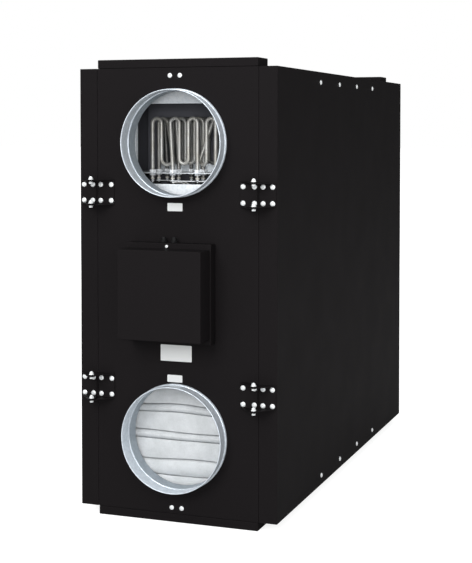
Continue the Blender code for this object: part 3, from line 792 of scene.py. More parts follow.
@dataclass
class Studio:
    """A pale studio: the camera of the photograph, soft lamps, a white background and a floor."""

    camera_at: Point = (1.1719, -3.4004, 0.9298)
    yaw: float = 20.087
    pitch: float = -2.054
    lens: float = 82.59
    shift_y: float = -0.1873
    room_light: float = 0.62
    mirror_share: float = 0.1
    floor_glow: tuple = (0.8, 1.02)
    floor_fade: tuple = (1.6, 4.5)
    floor_reach: float = 60.0
    floor_colour: str = "#A8A8A8"
    sensor_width: float = 36.0
    lamps: tuple = (
        ("front_softbox", (-0.7, -5.4, 3.1), 2.4, 196.0),
        ("low_softbox", (1.5, -4.6, 1.1), 0.9, 66.0),
        ("fill_softbox", (3.9, -3.1, 1.4), 2.4, 48.0),
        ("left_softbox", (-4.4, 0.8, 2.2), 2.4, 60.0),
        ("right_softbox", (4.4, 0.7, 2.4), 2.2, 50.0),
        ("top_softbox", (-0.4, -1.7, 4.3), 3.0, 85.0),
        ("back_softbox", (-2.6, 5.0, 2.6), 2.4, 130.0),
    )
    target: Point = (0.0, 0.0, 0.55)

    def build(self) -> None:
        """Build the camera, the lamps, the world and the floor."""
        self.make_camera()
        for lamp in self.lamps:
            self.make_lamp(*lamp)
        self.make_world()
        self.make_floor()
        bpy.context.scene.view_settings.view_transform = "Standard"

    def make_camera(self) -> None:
        """Make the camera at the photograph's viewing angle."""
        data = bpy.data.cameras.new("photograph_camera")
        data.lens = self.lens
        data.sensor_width = self.sensor_width
        data.sensor_fit = "AUTO"
        data.shift_y = self.shift_y
        data.clip_end = 100.0
        camera = bpy.data.objects.new("photograph_camera", data)
        camera.location = self.camera_at
        camera.rotation_euler = (radians(90.0 + self.pitch), 0.0, radians(self.yaw))
        bpy.context.scene.collection.objects.link(camera)
        bpy.context.scene.camera = camera

    def make_lamp(self, name: str, at: Point, size: float, power: float) -> None:
        """Make one square softbox that faces the unit.

        Args:
            name: The lamp's name.
            at: Where it stands.
            size: The length of its side.
            power: Its power in watts.
        """
        data = bpy.data.lights.new(name, "AREA")
        data.size = size
        data.energy = power
        lamp = bpy.data.objects.new(name, data)
        lamp.location = at
        lamp.rotation_euler = (Vector(at) - Vector(self.target)).to_track_quat("Z", "Y").to_euler()
        bpy.context.scene.collection.objects.link(lamp)

    def add_background_share(self, tree: Tree) -> Socket:
        """Return how much of the white background a ray sees.

        The camera and light through glass see all of it. A mirror ray sees a share, because
        the dark half of the studio fills most of what the coat and the metal reflect.

        Args:
            tree: The node tree of the world or the floor.

        Returns:
            The socket that gives the share.
        """
        path = add_node(tree, "ShaderNodeLightPath")
        share = add_node(tree, "ShaderNodeMath", {"operation": "MULTIPLY", 1: self.mirror_share},
                         {0: path.outputs["Is Glossy Ray"]})
        seen = add_node(tree, "ShaderNodeMath", {"operation": "MAXIMUM"},
                        {0: path.outputs["Is Camera Ray"], 1: path.outputs["Is Transmission Ray"]})
        return add_node(tree, "ShaderNodeMath", {"operation": "MAXIMUM"},
                        {0: seen.outputs[0], 1: share.outputs[0]}).outputs[0]

    def make_world(self) -> None:
        """Make the dim room light, with a white background behind the unit."""
        world = bpy.data.worlds.new("white_studio")
        bpy.context.scene.world = world
        world.use_nodes = True
        tree = world.node_tree
        tree.nodes.clear()
        seen = self.add_background_share(tree)
        path = add_node(tree, "ShaderNodeLightPath")
        room = add_node(tree, "ShaderNodeMath", {"operation": "MULTIPLY", 1: self.room_light},
                        {0: path.outputs["Is Diffuse Ray"]})
        level = add_node(tree, "ShaderNodeMath", {"operation": "MAXIMUM"}, {0: seen, 1: room.outputs[0]})
        white = add_node(tree, "ShaderNodeBackground", {"Color": (1.0, 1.0, 1.0, 1.0)},
                         {"Strength": level.outputs[0]})
        add_node(tree, "ShaderNodeOutputWorld", links={"Surface": white.outputs["Background"]})

    def make_floor(self) -> None:
        """Make the pale floor, which keeps the unit's shadow and fades into the background."""
        mesh = bpy.data.meshes.new("pale_floor")
        reach = self.floor_reach
        mesh.from_pydata([(-reach, -reach, 0.0), (reach, -reach, 0.0), (reach, reach, 0.0),
                          (-reach, reach, 0.0)], [], [(0, 1, 2, 3)])
        floor = new_object("pale_floor", mesh)
        made = bpy.data.materials.new("pale_floor_paint")
        made.use_nodes = True
        tree = made.node_tree
        tree.nodes.clear()
        paint = add_node(tree, "ShaderNodeBsdfDiffuse", {"Color": srgb(self.floor_colour)})
        seen = self.add_background_share(tree)
        place = add_node(tree, "ShaderNodeTexCoord").outputs["Object"]
        far = add_node(tree, "ShaderNodeVectorMath", {"operation": "LENGTH"}, {0: place})
        level = add_node(tree, "ShaderNodeMapRange", {
            "From Min": self.floor_fade[0], "From Max": self.floor_fade[1],
            "To Min": self.floor_glow[0], "To Max": self.floor_glow[1]}, {"Value": far.outputs["Value"]})
        share = add_node(tree, "ShaderNodeMath", {"operation": "MULTIPLY"},
                         {0: seen, 1: level.outputs["Result"]})
        glow = add_node(tree, "ShaderNodeEmission", {"Color": (1.0, 1.0, 1.0, 1.0)},
                        {"Strength": share.outputs[0]})
        both = add_node(tree, "ShaderNodeAddShader",
                        links={0: paint.outputs[0], 1: glow.outputs["Emission"]})
        add_node(tree, "ShaderNodeOutputMaterial", links={"Surface": both.outputs[0]})
        mesh.materials.append(made)


@dataclass
class Cabinet:
    """The black shell of the unit: end panels, long panels and rails."""

    edge: float = 0.0014
    rail_depth: float = 0.07
    rail_half: float = 0.203
    hole: float = 0.1253
    hole_reach: float = 0.05
    hole_steps: int = 96
    seam: float = 0.0004

    def build(self) -> None:
        """Build both ends and the panels between them."""
        for end in End:
            self.make_end_panel(end)
            self.make_rails(end)
        self.make_long_panels()

    def sheet(self, half: float, ys: Sequence[float], zs: Sequence[float], edge: float) -> Mesh:
        """Return a block as wide to the left as to the right.

        Args:
            half: Half its width.
            ys: Its lower and higher Y.
            zs: Its lower and higher Z.
            edge: The radius of its edges.

        Returns:
            The mesh.
        """
        return shape_from(lambda shape: add_block(
            shape, (-half, ys[0], zs[0]), (half, ys[1], zs[1]), edge), "sheet")

    def make_end_panel(self, end: End) -> None:
        """Build one end panel with its two holes.

        Args:
            end: The end of the unit.
        """
        ys = SIZES.span(end, 0.0, SIZES.wall)
        blank = self.sheet(SIZES.door_inner_x - self.seam, ys, (SIZES.bottom, SIZES.top), self.edge)
        holes = [place_at((0.0, (ys[0] + ys[1]) / 2, SIZES.spigot_z(level)), (0.0, 1.0, 0.0))
                 for level in Level]
        panel = cut_holes(blank, self.hole, self.hole_reach, holes, self.hole_steps)
        dress(end.word + "_panel_shell", panel, COAT, end.word + "_panel")

    def make_rails(self, end: End) -> None:
        """Build the rail over and the rail under one end as bent channels.

        Args:
            end: The end of the unit.
        """
        ys = SIZES.span(end, 0.0, self.rail_depth)
        spans = {"top": (SIZES.top + SIZES.gap, SIZES.height), "bottom": (0.0, SIZES.bottom - SIZES.gap)}
        for place, zs in spans.items():
            node = "%s_rail_%s" % (place, end.word)
            dress(node + "_channel", self.sheet(self.rail_half, ys, zs, self.edge), COAT, node)

    def make_long_panels(self) -> None:
        """Build the top and the bottom panel with their rims rounded."""
        ys = (SIZES.front_y + SIZES.wall + SIZES.gap, SIZES.rear_y - SIZES.wall - SIZES.gap)
        spans = {"top_panel": (SIZES.top - SIZES.wall, SIZES.top),
                 "bottom_panel": (SIZES.bottom, SIZES.bottom + SIZES.wall)}
        for node, zs in spans.items():
            dress(node + "_shell", self.sheet(SIZES.panel_half, ys, zs, self.edge / 2), COAT, node)


@dataclass
class Spigots:
    """The four round duct collars of rolled galvanised sheet, each with a bead and a curled rim."""

    radius: float = 0.125
    wall: float = 0.0012
    reach: float = 0.04
    rim: float = 0.001
    rim_width: float = 0.0024
    bead: float = 0.0028
    bead_width: float = 0.009
    bead_offset: float = 0.0036
    swage: float = 0.0009
    swage_width: float = 0.0125
    swage_ramp: float = 0.0016
    # The sleeve that paints shade on the deep band of the collar: its sheet, its play, where it starts and
    # its lip.
    lining: float = 0.001
    lining_play: float = 0.0001
    lining_start: float = 0.0006
    lining_lip: float = 0.0004
    steps: int = 160

    def profile(self) -> Outline:
        """Return the closed outline of the wall: radius against distance inside the panel."""
        inner = self.radius - self.wall
        bead = [(self.bead_width / 2 * cos(pi * s / 8), self.bead * sin(pi * s / 8))
                for s in range(9)]
        outside = [(self.radius, SIZES.wall)]
        outside += [(self.radius + rise, along - self.bead_offset) for along, rise in bead]
        step_z = self.swage_width - self.reach
        swage = [(0.0, step_z + self.swage_ramp), (-self.swage, step_z)]
        outside += [(self.radius + rise, along) for rise, along in swage]
        half = self.rim_width / 2
        curl_r = self.radius + self.rim - half
        curl = [(curl_r + half * cos(a), half - self.reach + half * sin(a))
                for a in (radians(d) for d in range(60, -181, -30))]
        inside = [(inner + rise, along) for rise, along in reversed(swage)]
        inside += [(inner + rise, along - self.bead_offset) for along, rise in reversed(bead)]
        return outside + curl + inside + [(inner, SIZES.wall)]

    def sleeve(self) -> Outline:
        """Return the closed outline of the sleeve that lines the collar within the wall; its dark finish is
        painted shade on the collar's deep band.
        """
        outer = self.radius - self.wall - self.lining_play
        inner = outer - self.lining
        front = self.bead_width / 2 - self.bead_offset + self.lining_start
        return [(outer, SIZES.wall), (outer, front), (outer - self.lining / 2, front - self.lining_lip),
                (inner, front), (inner, SIZES.wall)]

    def build(self) -> None:
        """Build each collar in place of its CAD node, and the sleeve in it, whose dark finish paints shade on
        the collar's deep band.
        """
        for end, level in product(End, Level):
            place = place_at((0.0, SIZES.depth(end, 0.0), SIZES.spigot_z(level)), (0.0, -end.value, 0.0))
            node = "spigot_%s_%s" % (end.word, level.word)
            dress(node + "_collar", lambda shape: add_turned(shape, self.profile(), place, self.steps, True),
                  GALVANISED, node, smooth=50.0)
            # Painted shade: the sleeve's dark finish darkens the collar's wall deep inside the panel.
            dress(node + "_sleeve", lambda shape: add_turned(shape, self.sleeve(), place, self.steps, True),
                  SHADE_SLEEVE_SHEET, smooth=50.0)


@dataclass
class Doors:
    """The two service doors: a folded skin, a pressed liner and a rubber seal."""

    outer_x: float = 0.25
    fold: float = 0.0008
    sheet: float = 0.0012
    return_edge: float = 0.0004
    liner_edge: float = 0.001
    liner_steps: tuple = ((0.034, 0.0), (0.004, 0.0022))
    screw_spacing: float = 0.177
    screw_columns: tuple = (-1.5, -0.5, 0.5, 1.5)
    screw_rows: tuple = ((1.049, -0.013), (0.045, 0.0))
    screw_head: tuple = (0.006, 0.003)
    seal_width: float = 0.012
    seal_inset: float = 0.01
    seal_height: float = 0.0021
    seal_corner: float = 0.03
    seal_profile: tuple = ((0.0, 0.0), (0.0, 0.55), (0.18, 0.9), (0.5, 1.0), (0.82, 0.9), (1.0, 0.55),
                           (1.0, 0.0))

    def build(self) -> None:
        """Build the skin, the liner, the seal and the face screws of each door."""
        for side in Side:
            self.make_skin(side)
            self.make_liner(side)
            self.make_seal(side)
            self.make_screws(side)

    def faces_at(self, shape: Shape, x: float) -> list[bmesh.types.BMFace]:
        """Return the faces of a shape that lie in the plane at an X."""
        return [f for f in shape.faces if all(abs(v.co.x - x) < 0.00001 for v in f.verts)]

    def make_skin(self, side: Side) -> None:
        """Build one door skin as a shallow tray of folded sheet.

        Args:
            side: The side of the unit that the door closes.
        """
        inside = SIZES.door_inner_x * side.value
        xs = sorted((self.outer_x * side.value, inside))

        def tray(shape: Shape) -> None:
            """Add the folded block and open its inner face.

            Args:
                shape: The bmesh to add to.
            """
            add_block(shape, (xs[0], SIZES.front_y, SIZES.bottom), (xs[1], SIZES.rear_y, SIZES.top),
                      self.fold)
            flat = self.faces_at(shape, inside)
            bmesh.ops.inset_region(shape, faces=flat, thickness=self.return_edge, use_even_offset=True)
            bmesh.ops.delete(shape, geom=flat, context="FACES")

        shell = new_object("skin", shape_from(tray, "skin"))
        wall = shell.modifiers.new("sheet", "SOLIDIFY")
        wall.thickness = self.sheet
        wall.offset = -1.0
        dress(side.door + "_skin_folded", applied(shell), COAT, side.door + "_skin", side.door)

    def make_liner(self, side: Side) -> None:
        """Build the pressed liner that closes the insulated door on its inner side.

        Args:
            side: The side of the unit that the door closes.
        """
        inset = self.sheet + SIZES.gap
        face = (SIZES.door_inner_x + self.sheet) * side.value
        xs = sorted(((self.outer_x - inset) * side.value, face))

        def panel(shape: Shape) -> None:
            """Add the block and press its inner face inwards.

            Args:
                shape: The bmesh to add to.
            """
            add_block(shape, (xs[0], SIZES.front_y + inset, SIZES.bottom + inset),
                      (xs[1], SIZES.rear_y - inset, SIZES.top - inset), self.liner_edge, 2)
            flat = self.faces_at(shape, face)
            for width, sink in self.liner_steps:
                bmesh.ops.inset_region(shape, faces=flat, thickness=width, use_even_offset=True)
                for vert in {v for f in flat for v in f.verts}:
                    vert.co.x += sink * side.value

        dress(side.door + "_liner_pressed", panel, LINER, side.door + "_liner", side.door)

    def make_seal(self, side: Side) -> None:
        """Build the rubber seal that runs round the liner and meets the ends of the cabinet.

        Args:
            side: The side of the unit that the door closes.
        """
        face = (SIZES.door_inner_x + self.sheet) * side.value
        loops = []
        for across, rise in self.seal_profile:
            inset = self.seal_inset + self.seal_width * across
            loops.append(rounded_loop("x", face - side.value * self.seal_height * rise,
                                      (SIZES.front_y + inset, SIZES.bottom + inset),
                                      (SIZES.rear_y - inset, SIZES.top - inset),
                                      self.seal_corner - inset * 0.5))
        dress(side.door + "_seal", lambda shape: add_loops(shape, loops), RUBBER, body=side.door, smooth=50.0)

    def make_screws(self, side: Side) -> None:
        """Put four zinc screws along the top and the bottom edge of the door's face.

        Args:
            side: The side of the unit that the door closes.
        """
        points = [(self.outer_x * side.value, SIZES.centre_y + shift + at * self.screw_spacing, z)
                  for z, shift in self.screw_rows for at in self.screw_columns]
        repeat(side.door + "_face_screws", Fasteners.pan_head(*self.screw_head), points, ZINC, side.door,
               (0.0, pi / 2 * side.value, 0.0))


class Fasteners:
    """Small fasteners, each modelled about the origin with its head towards +Z.

    Their profiles are shares of the head's radius and height, from the brim to the middle.
    """

    sole: float = -0.0005
    screw_shares: tuple = ((1.0, 0.15), (1.0, 0.4), (0.9, 0.75), (0.66, 1.0), (0.34, 1.0), (0.16, 0.45),
                           (0.0, 0.35))
    brim: tuple = (-0.0004, 0.0005, 0.0006)
    pin_shares: tuple = ((0.24, 0.86), (0.22, 0.62), (0.0, 0.62))

    @classmethod
    def pan_head(cls, radius: float, height: float) -> Mesh:
        """Return a pan head screw with a recess.

        Args:
            radius: The head's radius.
            height: The head's height.

        Returns:
            The mesh.
        """
        profile = [(0.0, cls.sole), (radius * 0.92, cls.sole)]
        profile += [(radius * across, height * up) for across, up in cls.screw_shares]
        return shape_from(lambda shape: add_turned(shape, profile, steps=16), "screw")

    @classmethod
    def dome_rivet(cls, radius: float, height: float) -> Mesh:
        """Return a blind rivet: a low dome with a flat brim and the broken pin in its middle.

        Args:
            radius: The brim's radius.
            height: The dome's height.

        Returns:
            The mesh.
        """
        low, high, foot = cls.brim
        profile = [(0.0, low), (radius, low), (radius, high)]
        profile += [(radius * 0.92 * cos(a), foot + (height - foot) * sin(a))
                    for a in (radians(d) for d in (8, 24, 40, 56, 70))]
        profile += [(radius * across, height * up) for across, up in cls.pin_shares]
        return shape_from(lambda shape: add_turned(shape, profile, steps=20), "rivet")


@dataclass
class Hinges:
    """The hinges: bent black leaves, zinc bolts with flange nuts, and their rivets."""

    from_middle: float = 0.233
    height: float = 0.061
    reach: float = 0.036
    ear_radius: float = 0.01
    nose_steps: int = 12
    plate: float = 0.002
    panel_leaf: float = 0.042
    door_leaf: float = 0.0395
    clearance: float = 0.0028
    pin_clearance: float = 0.0005
    bend: float = 0.0006
    bolt_radius: float = 0.003
    bolt_foot: float = 0.001
    bolt_ends: tuple = (0.0068, 0.0078)
    bolt_tip: float = 0.7
    flange: tuple = ((0.0, 0.0), (0.006, 0.0), (0.006, 0.0008), (0.0048, 0.002), (0.0, 0.002))
    nut: tuple = (0.0049, 0.0044, 0.0012, 0.0007)
    head: tuple = (0.0047, -0.0054, 0.0, 0.0006)
    rivet: tuple = (0.006, 0.0026)
    rivet_row: float = 0.0191
    rivet_drop: float = 0.0013
    panel_columns: tuple = (-0.0375, -0.0098)
    door_columns: tuple = (0.0112, 0.0342)

    def build(self) -> None:
        """Build every leaf, then the bolts and rivets of each body."""
        for end, side, level, on_door in product(End, Side, Level, (False, True)):
            self.make_leaf(end, side, level, on_door)
        self.make_bolts()
        self.make_rivets()

    @property
    def stack(self) -> float:
        """Return the height of the two ears that a bolt holds together."""
        return 2 * self.plate + self.pin_clearance

    def middle(self, level: Level) -> float:
        """Return the height of the middle of a hinge."""
        return SIZES.middle + level.value * self.from_middle

    def make_leaf(self, end: End, side: Side, level: Level, on_door: bool) -> None:
        """Build one bent leaf with its two ears.

        Args:
            end: The end of the unit.
            side: The side of the unit.
            level: The upper or lower hinge.
            on_door: Whether it is the door's leaf.
        """
        away = side.value if on_door else -side.value
        out = end.value
        face = SIZES.depth(end, 0.0) + out * SIZES.gap
        pivot = (SIZES.door_inner_x * side.value, SIZES.depth(end, -self.reach))
        near = pivot[0] + away * self.clearance
        far = near + away * (self.door_leaf if on_door else self.panel_leaf)
        half = self.height / 2 - ((self.plate + self.pin_clearance) if on_door else 0.0)
        centre = self.middle(level)

        def leaf(shape: Shape) -> None:
            """Add the plate and its two ears.

            Args:
                shape: The bmesh to add to.
            """
            ys = sorted((face, face + out * self.plate))
            xs = sorted((near, far))
            add_block(shape, (xs[0], ys[0], centre - half), (xs[1], ys[1], centre + half), self.bend, 2)
            outline = self.ear_outline(pivot, near, far, face + out * self.plate / 2, out, away)
            if on_door and end is End.REAR:
                outline = self.slotted_outline(outline, pivot, side.value)
            for up in (-1.0, 1.0):
                edge = centre + up * half
                base = min(edge, edge - up * self.plate)
                add_prism(shape, [(x, y, base) for x, y in outline], Vector((0.0, 0.0, self.plate)),
                          self.bend / 2, 1)

        node = "hinge_%s_leaf_%s_%s_%s" % ("door" if on_door else "panel", end.word, side.word, level.word)
        dress(node + "_bent", leaf, COAT, node, side.door if on_door else "cabinet")

    def ear_outline(self, pivot: tuple[float, float], near: float, far: float, foot_y: float, out: float,
                    away: float) -> Outline:
        """Return the outline of an ear: a round nose on the pivot and straight sides to the plate.

        Args:
            pivot: The X and Y of the bolt.
            near: The X of the plate's edge by the bolt.
            far: The X of its other edge.
            foot_y: The Y in the middle of the plate.
            out: The direction out of the end along Y.
            away: The direction from the bolt to the plate along X.

        Returns:
            The outline's X and Y pairs in order.
        """
        nose = []
        tangent = self.tangent_angle((far - pivot[0]) * away, (foot_y - pivot[1]) * out)
        for step in range(self.nose_steps + 1):
            share = step / self.nose_steps
            angle = radians(180.0) * (1 - share) + tangent * share
            nose.append((pivot[0] + away * self.ear_radius * cos(angle),
                         pivot[1] + out * self.ear_radius * sin(angle)))
        return [(near, foot_y)] + nose + [(far, foot_y)]

    def tangent_angle(self, dx: float, dy: float) -> float:
        """Return the angle on the nose where the straight edge to a corner at dx, dy leaves it."""
        return atan2(dy, dx) + acos(min(1.0, self.ear_radius / hypot(dx, dy)))

    def slotted_outline(self, outline: Outline, pivot: tuple[float, float], side: float) -> Outline:
        """Return an ear outline with a slot that is open towards the middle of the unit.

        Args:
            outline: The ear's outline without the slot.
            pivot: The X and Y of the bolt.
            side: The direction of the door along X.

        Returns:
            The outline with the slot.
        """
        radius = self.bolt_radius + self.pin_clearance
        slot = [(pivot[0] + side * radius * cos(a), pivot[1] + radius * sin(a))
                for a in (radians(d) for d in range(90, -91, -30))]
        nose_x = pivot[0] - side * sqrt(self.ear_radius ** 2 - radius ** 2)
        cut = [(nose_x, pivot[1] + radius)] + slot + [(nose_x, pivot[1] - radius)]
        kept = [p for p in outline if not (abs(p[1] - pivot[1]) < radius * 1.05
                                           and (p[0] - pivot[0]) * side < 0)]
        at = next(i for i, p in enumerate(outline) if p not in kept)
        if kept[at - 1][1] < pivot[1]:
            cut.reverse()
        return kept[:at] + cut + kept[at:]

    def add_bolt(self, shape: Shape) -> None:
        """Add a short bolt: its head below, its flange nut and end above the two ears.

        Args:
            shape: The bmesh to add to.
        """
        half = self.stack / 2
        radius = self.bolt_radius
        shoulder, top = (half + end for end in self.bolt_ends)
        foot = -half - self.bolt_foot
        add_turned(shape, [(0.0, foot), (radius, foot), (radius, shoulder), (radius * self.bolt_tip, top),
                           (0.0, top)], steps=20)
        add_turned(shape, [(across, half + up) for across, up in self.flange], steps=24)
        for (corner, height, base, chamfer), up in ((self.nut, half), (self.head, -half)):
            add_hexagon(shape, corner, height, up + base, chamfer)

    def make_bolts(self) -> None:
        """Put two bolts in each hinge."""
        points = [(SIZES.door_inner_x * side.value, SIZES.depth(end, -self.reach),
                   self.middle(level) + up * (self.height / 2 - self.stack / 2))
                  for end, side, level, up in product(End, Side, Level, (-1.0, 1.0))]
        repeat("hinge_bolts", shape_from(self.add_bolt, "bolt"), points, ZINC)

    def make_rivets(self) -> None:
        """Put four rivets through each leaf, on the body that the leaf belongs to."""
        for end in End:
            face = SIZES.depth(end, 0.0) + end.value * (SIZES.gap + self.plate)
            spots: dict[str, list[Point]] = {"cabinet": [], "door_left": [], "door_right": []}
            for side, level, up in product(Side, Level, (-1.0, 1.0)):
                z = self.middle(level) + up * self.rivet_row - self.rivet_drop
                for body, columns in (("cabinet", self.panel_columns), (side.door, self.door_columns)):
                    spots[body] += [(side.value * (SIZES.door_inner_x + along), face, z)
                                    for along in columns]
            for body, points in spots.items():
                repeat("rivets_%s_%s" % (end.word, body), Fasteners.dome_rivet(*self.rivet), points, ZINC,
                       body, end.turn)


@dataclass
class ControlBox:
    """The control box: a shallow base, a deeper folded lid, two cable glands and one screw."""

    offset: float = -0.008
    width: float = 0.213
    height: float = 0.2345
    base_reach: float = 0.03
    lid_reach: float = 0.058
    lid_inset: float = 0.003
    lid_height: float = 0.2095
    fold: float = 0.0018
    gland_offset: float = -0.0045
    gland_spacing: float = 0.026
    gland_from_panel: float = 0.015
    gland_foot: tuple = (0.007, 0.005, 0.0, 0.0006)
    gland_cap: tuple = ((0.0, 0.004), (0.0056, 0.004), (0.006, 0.0055), (0.0058, 0.0105),
                        (0.0046, 0.013), (0.0034, 0.0136), (0.003, 0.012), (0.0, 0.0118))
    screw_z: float = 0.6577
    screw_x: float = -0.0121
    screw_head: tuple = (0.0038, 0.0018)

    def build(self) -> None:
        """Build the base, the lid, the glands and the screw."""
        front = SIZES.front_y - self.base_reach
        lid = front - SIZES.gap
        self.make_tray("control_box_base", "_tray", self.width / 2, (front, SIZES.front_y - SIZES.gap),
                       self.height)
        self.make_tray("control_box_lid", "_folded", self.width / 2 - self.lid_inset,
                       (lid - self.lid_reach + SIZES.gap, lid), self.lid_height)
        for side in Side:
            at = (self.offset + self.gland_offset + side.value * self.gland_spacing / 2,
                  SIZES.front_y - self.gland_from_panel, SIZES.middle + self.height / 2 + SIZES.gap)
            node = "cable_gland_" + side.word
            dress(node + "_moulded", lambda shape: self.add_gland(shape, at), NYLON, node)
        repeat("control_box_screw", Fasteners.pan_head(*self.screw_head),
               [(self.screw_x, front, self.screw_z)], ZINC, turn=End.FRONT.turn)

    def make_tray(self, node: str, ending: str, half: float, ys: tuple[float, float],
                  height: float) -> None:
        """Build the base or the lid as a block of folded sheet.

        Args:
            node: The CAD node that it replaces.
            ending: What its own name has after the node's.
            half: Half its width.
            ys: Its lower and higher Y.
            height: Its height, about the middle of the doors.
        """
        dress(node + ending, lambda shape: add_block(
            shape, (self.offset - half, ys[0], SIZES.middle - height / 2),
            (self.offset + half, ys[1], SIZES.middle + height / 2), self.fold), COAT, node)

    def add_gland(self, shape: Shape, at: Point) -> None:
        """Add one cable gland: a hexagon foot, a cap and a blanking plug.

        Args:
            shape: The empty bmesh to add to.
            at: The middle of its foot.
        """
        add_hexagon(shape, *self.gland_foot)
        add_turned(shape, self.gland_cap, steps=24)
        bmesh.ops.translate(shape, vec=at, verts=shape.verts)


@dataclass
class FrontMarks:
    """Bare labels on the front panel, and the paired rivets on both end panels."""

    labels: tuple = (
        ("label_upper", -0.0033, 0.748, 0.038, 0.019),
        ("label_middle", -0.001, 0.403, 0.079, 0.0385),
        ("label_lower", -0.0043, 0.3425, 0.038, 0.017),
    )
    thickness: float = 0.0003
    corner: float = 0.0015
    rivet: tuple = (0.0056, 0.0026)
    pairs: tuple = ((-0.0159, 1.057), (0.0094, 1.057), (-0.0129, 0.0345), (0.0123, 0.0345))

    def build(self) -> None:
        """Build the labels and the rivet pairs of both ends."""
        for name, x, z, width, height in self.labels:
            outline = rounded_loop("y", SIZES.front_y - self.thickness, (x - width / 2, z - height / 2),
                                   (x + width / 2, z + height / 2), self.corner, 4)
            dress(name, lambda shape: add_prism(shape, outline, Vector((0.0, self.thickness, 0.0))),
                  FILM, smooth=30.0)
        for end in End:
            points = [(x, SIZES.depth(end, 0.0), z) for x, z in self.pairs]
            repeat("spigot_rivets_" + end.word, Fasteners.dome_rivet(*self.rivet), points, ZINC,
                   turn=end.turn)


@dataclass
class Heater:
    """The electric heater behind the upper front spigot.

    The elements show a little thicker than the CAD's 8.2 mm tube, which radius keeps. An entry
    of elements gives the first leg, the direction of counting and the rows. An entry of strips
    gives two legs and a row, and one of the wires a leg, a row, and how far the wire runs
    sideways, backwards and down.
    """

    depth: float = 0.1085
    divider: float = 0.015
    sheet: float = 0.0015
    lip: float = 0.012
    bend: float = 0.0022
    bend_turns: tuple = (90, 68, 45, 22, 0)
    inner_bend: float = 0.001
    above_axis: float = 0.095
    below_axis: float = 0.1015
    half_opening: float = 0.153
    plate_top: float = 0.8242
    front_row: float = 0.148
    row_pitch: float = 0.039
    legs: int = 12
    side_margin: float = 0.021
    bank_offset: float = 0.0065
    lean: float = 0.006
    leaning_legs: tuple = (2, 4, 8)
    straight: float = 0.014
    above_plate: float = 0.1375
    bend_above: float = 0.018
    tail_below: float = 0.013
    radius: float = 0.0041
    shown_radius: float = 0.0047
    arc_steps: int = 14
    elements: dict = field(default_factory=lambda: {
        "heater_element_left_loop": (0, 1.0, (0, 1)),
        "heater_element_middle_front": (2, 1.0, (0,)),
        "heater_element_middle_back": (2, 1.0, (1,)),
        "heater_element_middle_loop": (7, -1.0, (0, 1)),
        "heater_element_right_front": (8, 1.0, (0,)),
        "heater_element_right_back": (8, 1.0, (1,)),
        "heater_element_rear_left": (0, 1.0, (2,)),
        "heater_element_rear_middle": (4, 1.0, (2,)),
        "heater_element_rear_right": (8, 1.0, (2,)),
    })
    upper_nut: tuple = (0.0086, 0.006, 0.001, 0.0006)
    lower_nut: tuple = (0.0078, -0.0045, -0.003, 0.0006)
    washers: tuple = (((0.0, 0.0), (0.0094, 0.0), (0.0094, 0.001), (0.0, 0.001)),
                      ((0.0, -0.002), (0.0088, -0.002), (0.0088, -0.003), (0.0, -0.003)))
    bead: tuple = ((0.0, -0.004), (0.0044, -0.004), (0.005, -0.0032), (0.005, -0.0008), (0.0044, 0.0),
                   (0.0, 0.0))
    stud: tuple = ((0.0, -0.012), (0.0018, -0.012), (0.002, -0.0115), (0.002, -0.003), (0.0, -0.003))
    stud_nut: tuple = (0.004, 0.0025, -0.008, 0.0003)
    stud_drop: float = 0.0085
    strips: tuple = ((2, 5, 0), (5, 7, 0), (0, 2, 1), (8, 11, 0), (4, 7, 2))
    strip_half: float = 0.005
    strip_levels: tuple = (-0.0008, 0.0012)
    strip_edge: float = 0.0005
    wire_radius: float = 0.0016
    wire_steps: int = 16
    wire_start: float = 0.0045
    wire_rise: float = 0.006
    white_wires: tuple = ((2, 0, 0.052, 0.03, 0.03), (2, 1, 0.04, 0.02, 0.034),
                          (7, 0, -0.035, 0.024, 0.032))
    black_wires: tuple = ((0, 0, 0.04, 0.04, 0.034), (0, 1, 0.05, 0.03, 0.03),
                          (5, 0, 0.03, 0.03, 0.034), (5, 1, -0.045, 0.03, 0.03),
                          (8, 0, -0.03, 0.03, 0.034), (11, 0, -0.05, 0.03, 0.034))

    @property
    def pitch(self) -> float:
        """Return the distance from one leg of an element to the next."""
        return 2 * (self.half_opening - self.side_margin) / (self.legs - 1)

    @property
    def first_leg(self) -> float:
        """Return the X of the first leg."""
        return self.side_margin - self.half_opening + self.bank_offset

    def build(self) -> None:
        """Build the tube elements, the frame, the fittings and the wiring."""
        tails = []
        for name, (leg, mirror, rows) in self.elements.items():
            path = self.path(leg, mirror, rows)
            tails += [path[0], path[-1]]
            dress(name + "_tube", lambda shape: add_tube(shape, path, self.shown_radius, 16), TUBE, name,
                  smooth=60.0)
        self.make_frame()
        self.make_fittings(tails)
        self.make_wiring()

    def make_frame(self) -> None:
        """Build the folded sheet frame with a lip turned inwards round its opening."""
        face = SIZES.front_y + self.depth
        outer = ((-SIZES.panel_half, SIZES.middle + self.divider / 2 + SIZES.gap),
                 (SIZES.panel_half, SIZES.top - SIZES.wall - SIZES.gap))
        low = (-self.half_opening, SIZES.upper_axis - self.below_axis)
        high = (self.half_opening, SIZES.upper_axis + self.above_axis)

        def loop(grow: float, y: float) -> list[Point]:
            """Return the opening's loop, wider by a distance all round, at a Y."""
            return rounded_loop("y", y, (low[0] - grow, low[1] - grow), (high[0] + grow, high[1] + grow))

        sheet, bend = self.sheet, self.bend
        loops = [rounded_loop("y", face, *outer)]
        loops += [loop(bend - bend * cos(a), face + bend - bend * sin(a))
                  for a in (radians(d) for d in self.bend_turns)]
        loops += [loop(0.0, face + self.lip), loop(sheet, face + self.lip),
                  loop(sheet, face + sheet + self.inner_bend), loop(sheet + self.inner_bend, face + sheet),
                  rounded_loop("y", face + sheet, *outer)]
        dress("heater_frame_folded", lambda shape: add_loops(shape, loops), BRIGHT_SHEET, "heater_frame",
              smooth=40.0)

